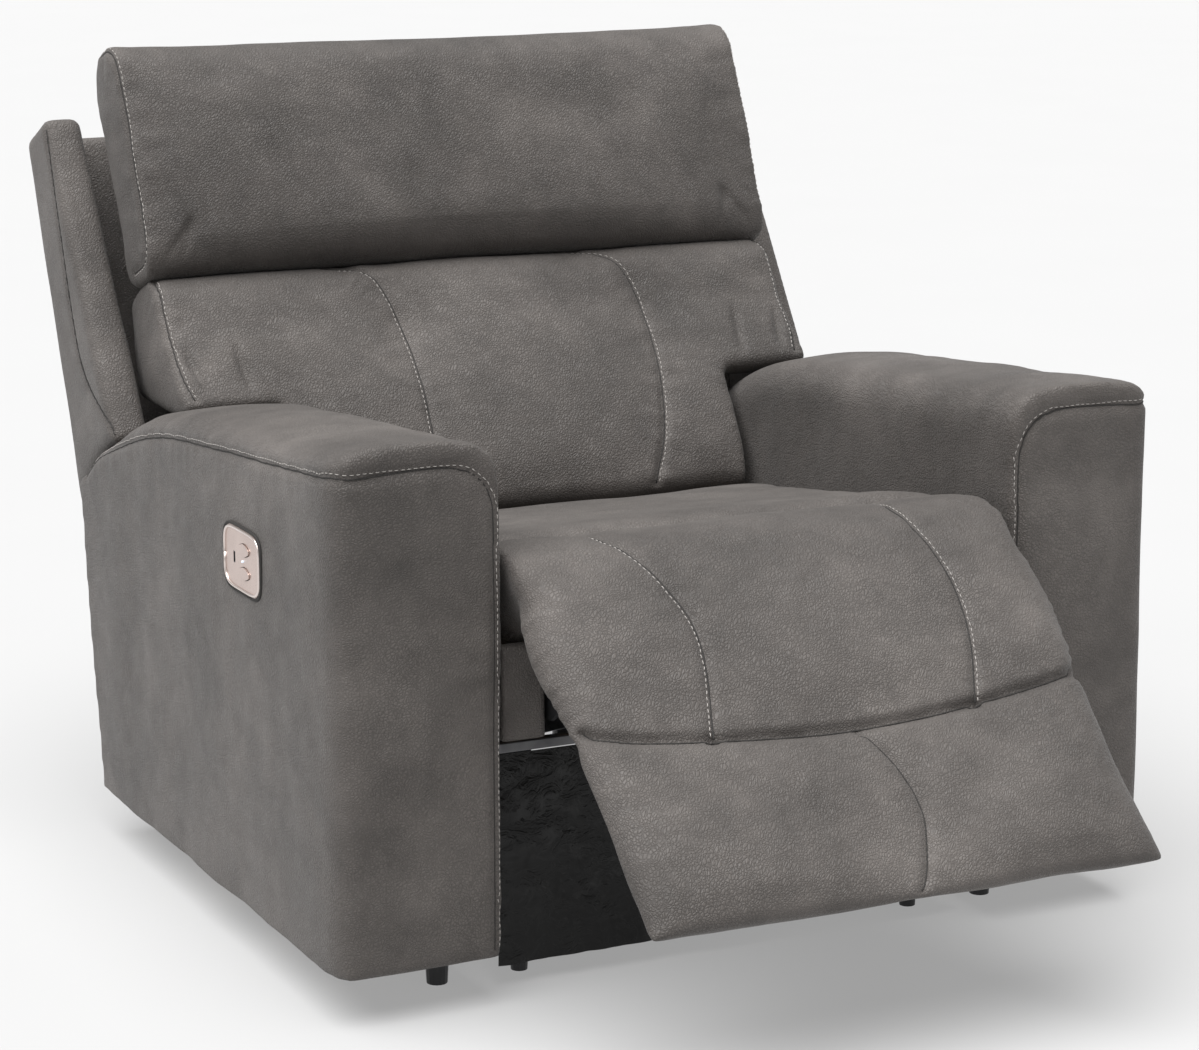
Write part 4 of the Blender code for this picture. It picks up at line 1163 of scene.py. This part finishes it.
def front_liner():
    """The thin black liner behind the footrest, hung from the bar and creased."""
    width, height = 0.640, 0.256
    nx, nz = 128, 52
    verts = []
    for j in range(nz + 1):
        for i in range(nx + 1):
            x = -width / 2 + width * i / nx
            z = LINER_BOTTOM_Z + height * j / nz
            hang = 1.0 - (j / nz) ** 4
            fold = 0.0055 * noise.noise(Vector((x * 15.0, z * 4.0, 0.3)))
            fold += 0.0060 * (0.25 - abs(noise.noise(Vector((x * 26.0 + z * 9.0, z * 13.0, 4.3)))))
            verts.append((x, LINER_Y + SHIFT_Y + fold * hang, z))
    faces = []
    for j in range(nz):
        for i in range(nx):
            a = j * (nx + 1) + i
            faces.append((a, a + 1, a + nx + 2, a + nx + 1))
    obj = mesh_object("front_liner", verts, faces, LINER)
    settle(obj, "seat", "front_dust_cover")


# ---------------------------------------------------------------- stage


def studio():
    """A pale round stage with a low wall, under an even sky and one very soft sun."""
    count = STAGE_SIDES
    angles = [2 * math.pi * k / count for k in range(count)]
    rim = [(STAGE_RADIUS * math.cos(angle), STAGE_RADIUS * math.sin(angle)) for angle in angles]
    verts = [(x, y, 0.0) for x, y in rim] + [(x, y, STAGE_HEIGHT) for x, y in rim]
    faces = [tuple(range(count))]
    faces += [(k + count, (k + 1) % count + count, (k + 1) % count, k) for k in range(count)]
    floor = mesh_object("floor", verts, faces, floor_material(), smooth=False)
    world = bpy.data.worlds.new("studio")
    bpy.context.scene.world = world
    world.use_nodes = True
    sky = world.node_tree.nodes["Background"]
    sky.inputs["Color"].default_value = (1.0, 1.0, 1.0, 1.0)
    sky.inputs["Strength"].default_value = 0.25
    key = bpy.data.lights.new("key", "SUN")
    key.energy = 6.0
    key.angle = math.radians(70.0)
    holder = bpy.data.objects.new("key", key)
    holder.rotation_euler = Vector(SUN_DIRECTION).to_track_quat("Z", "Y").to_euler()
    bpy.context.scene.collection.objects.link(holder)
    bpy.context.scene.view_settings.view_transform = "Standard"


def camera():
    """A long lens, high in front of the chair's right side."""
    lens = bpy.data.cameras.new("view")
    lens.lens = 102.99
    lens.sensor_width = 36.0
    lens.shift_y = 0.0121
    holder = bpy.data.objects.new("view", lens)
    place = Vector(CAMERA_PLACE)
    aim = Vector(CAMERA_AIM) - place
    holder.location = place
    holder.rotation_euler = aim.to_track_quat("-Z", "Y").to_euler()
    bpy.context.scene.collection.objects.link(holder)
    bpy.context.scene.camera = holder


dress_cad_nodes()
for arm_side in (-1, 1):
    arm(arm_side)
head_cushion()
lumbar_cushion()
seat_pad()
seat_rear_deck()
firm_panels()
front_liner()
panel_rim()
studio()
camera()
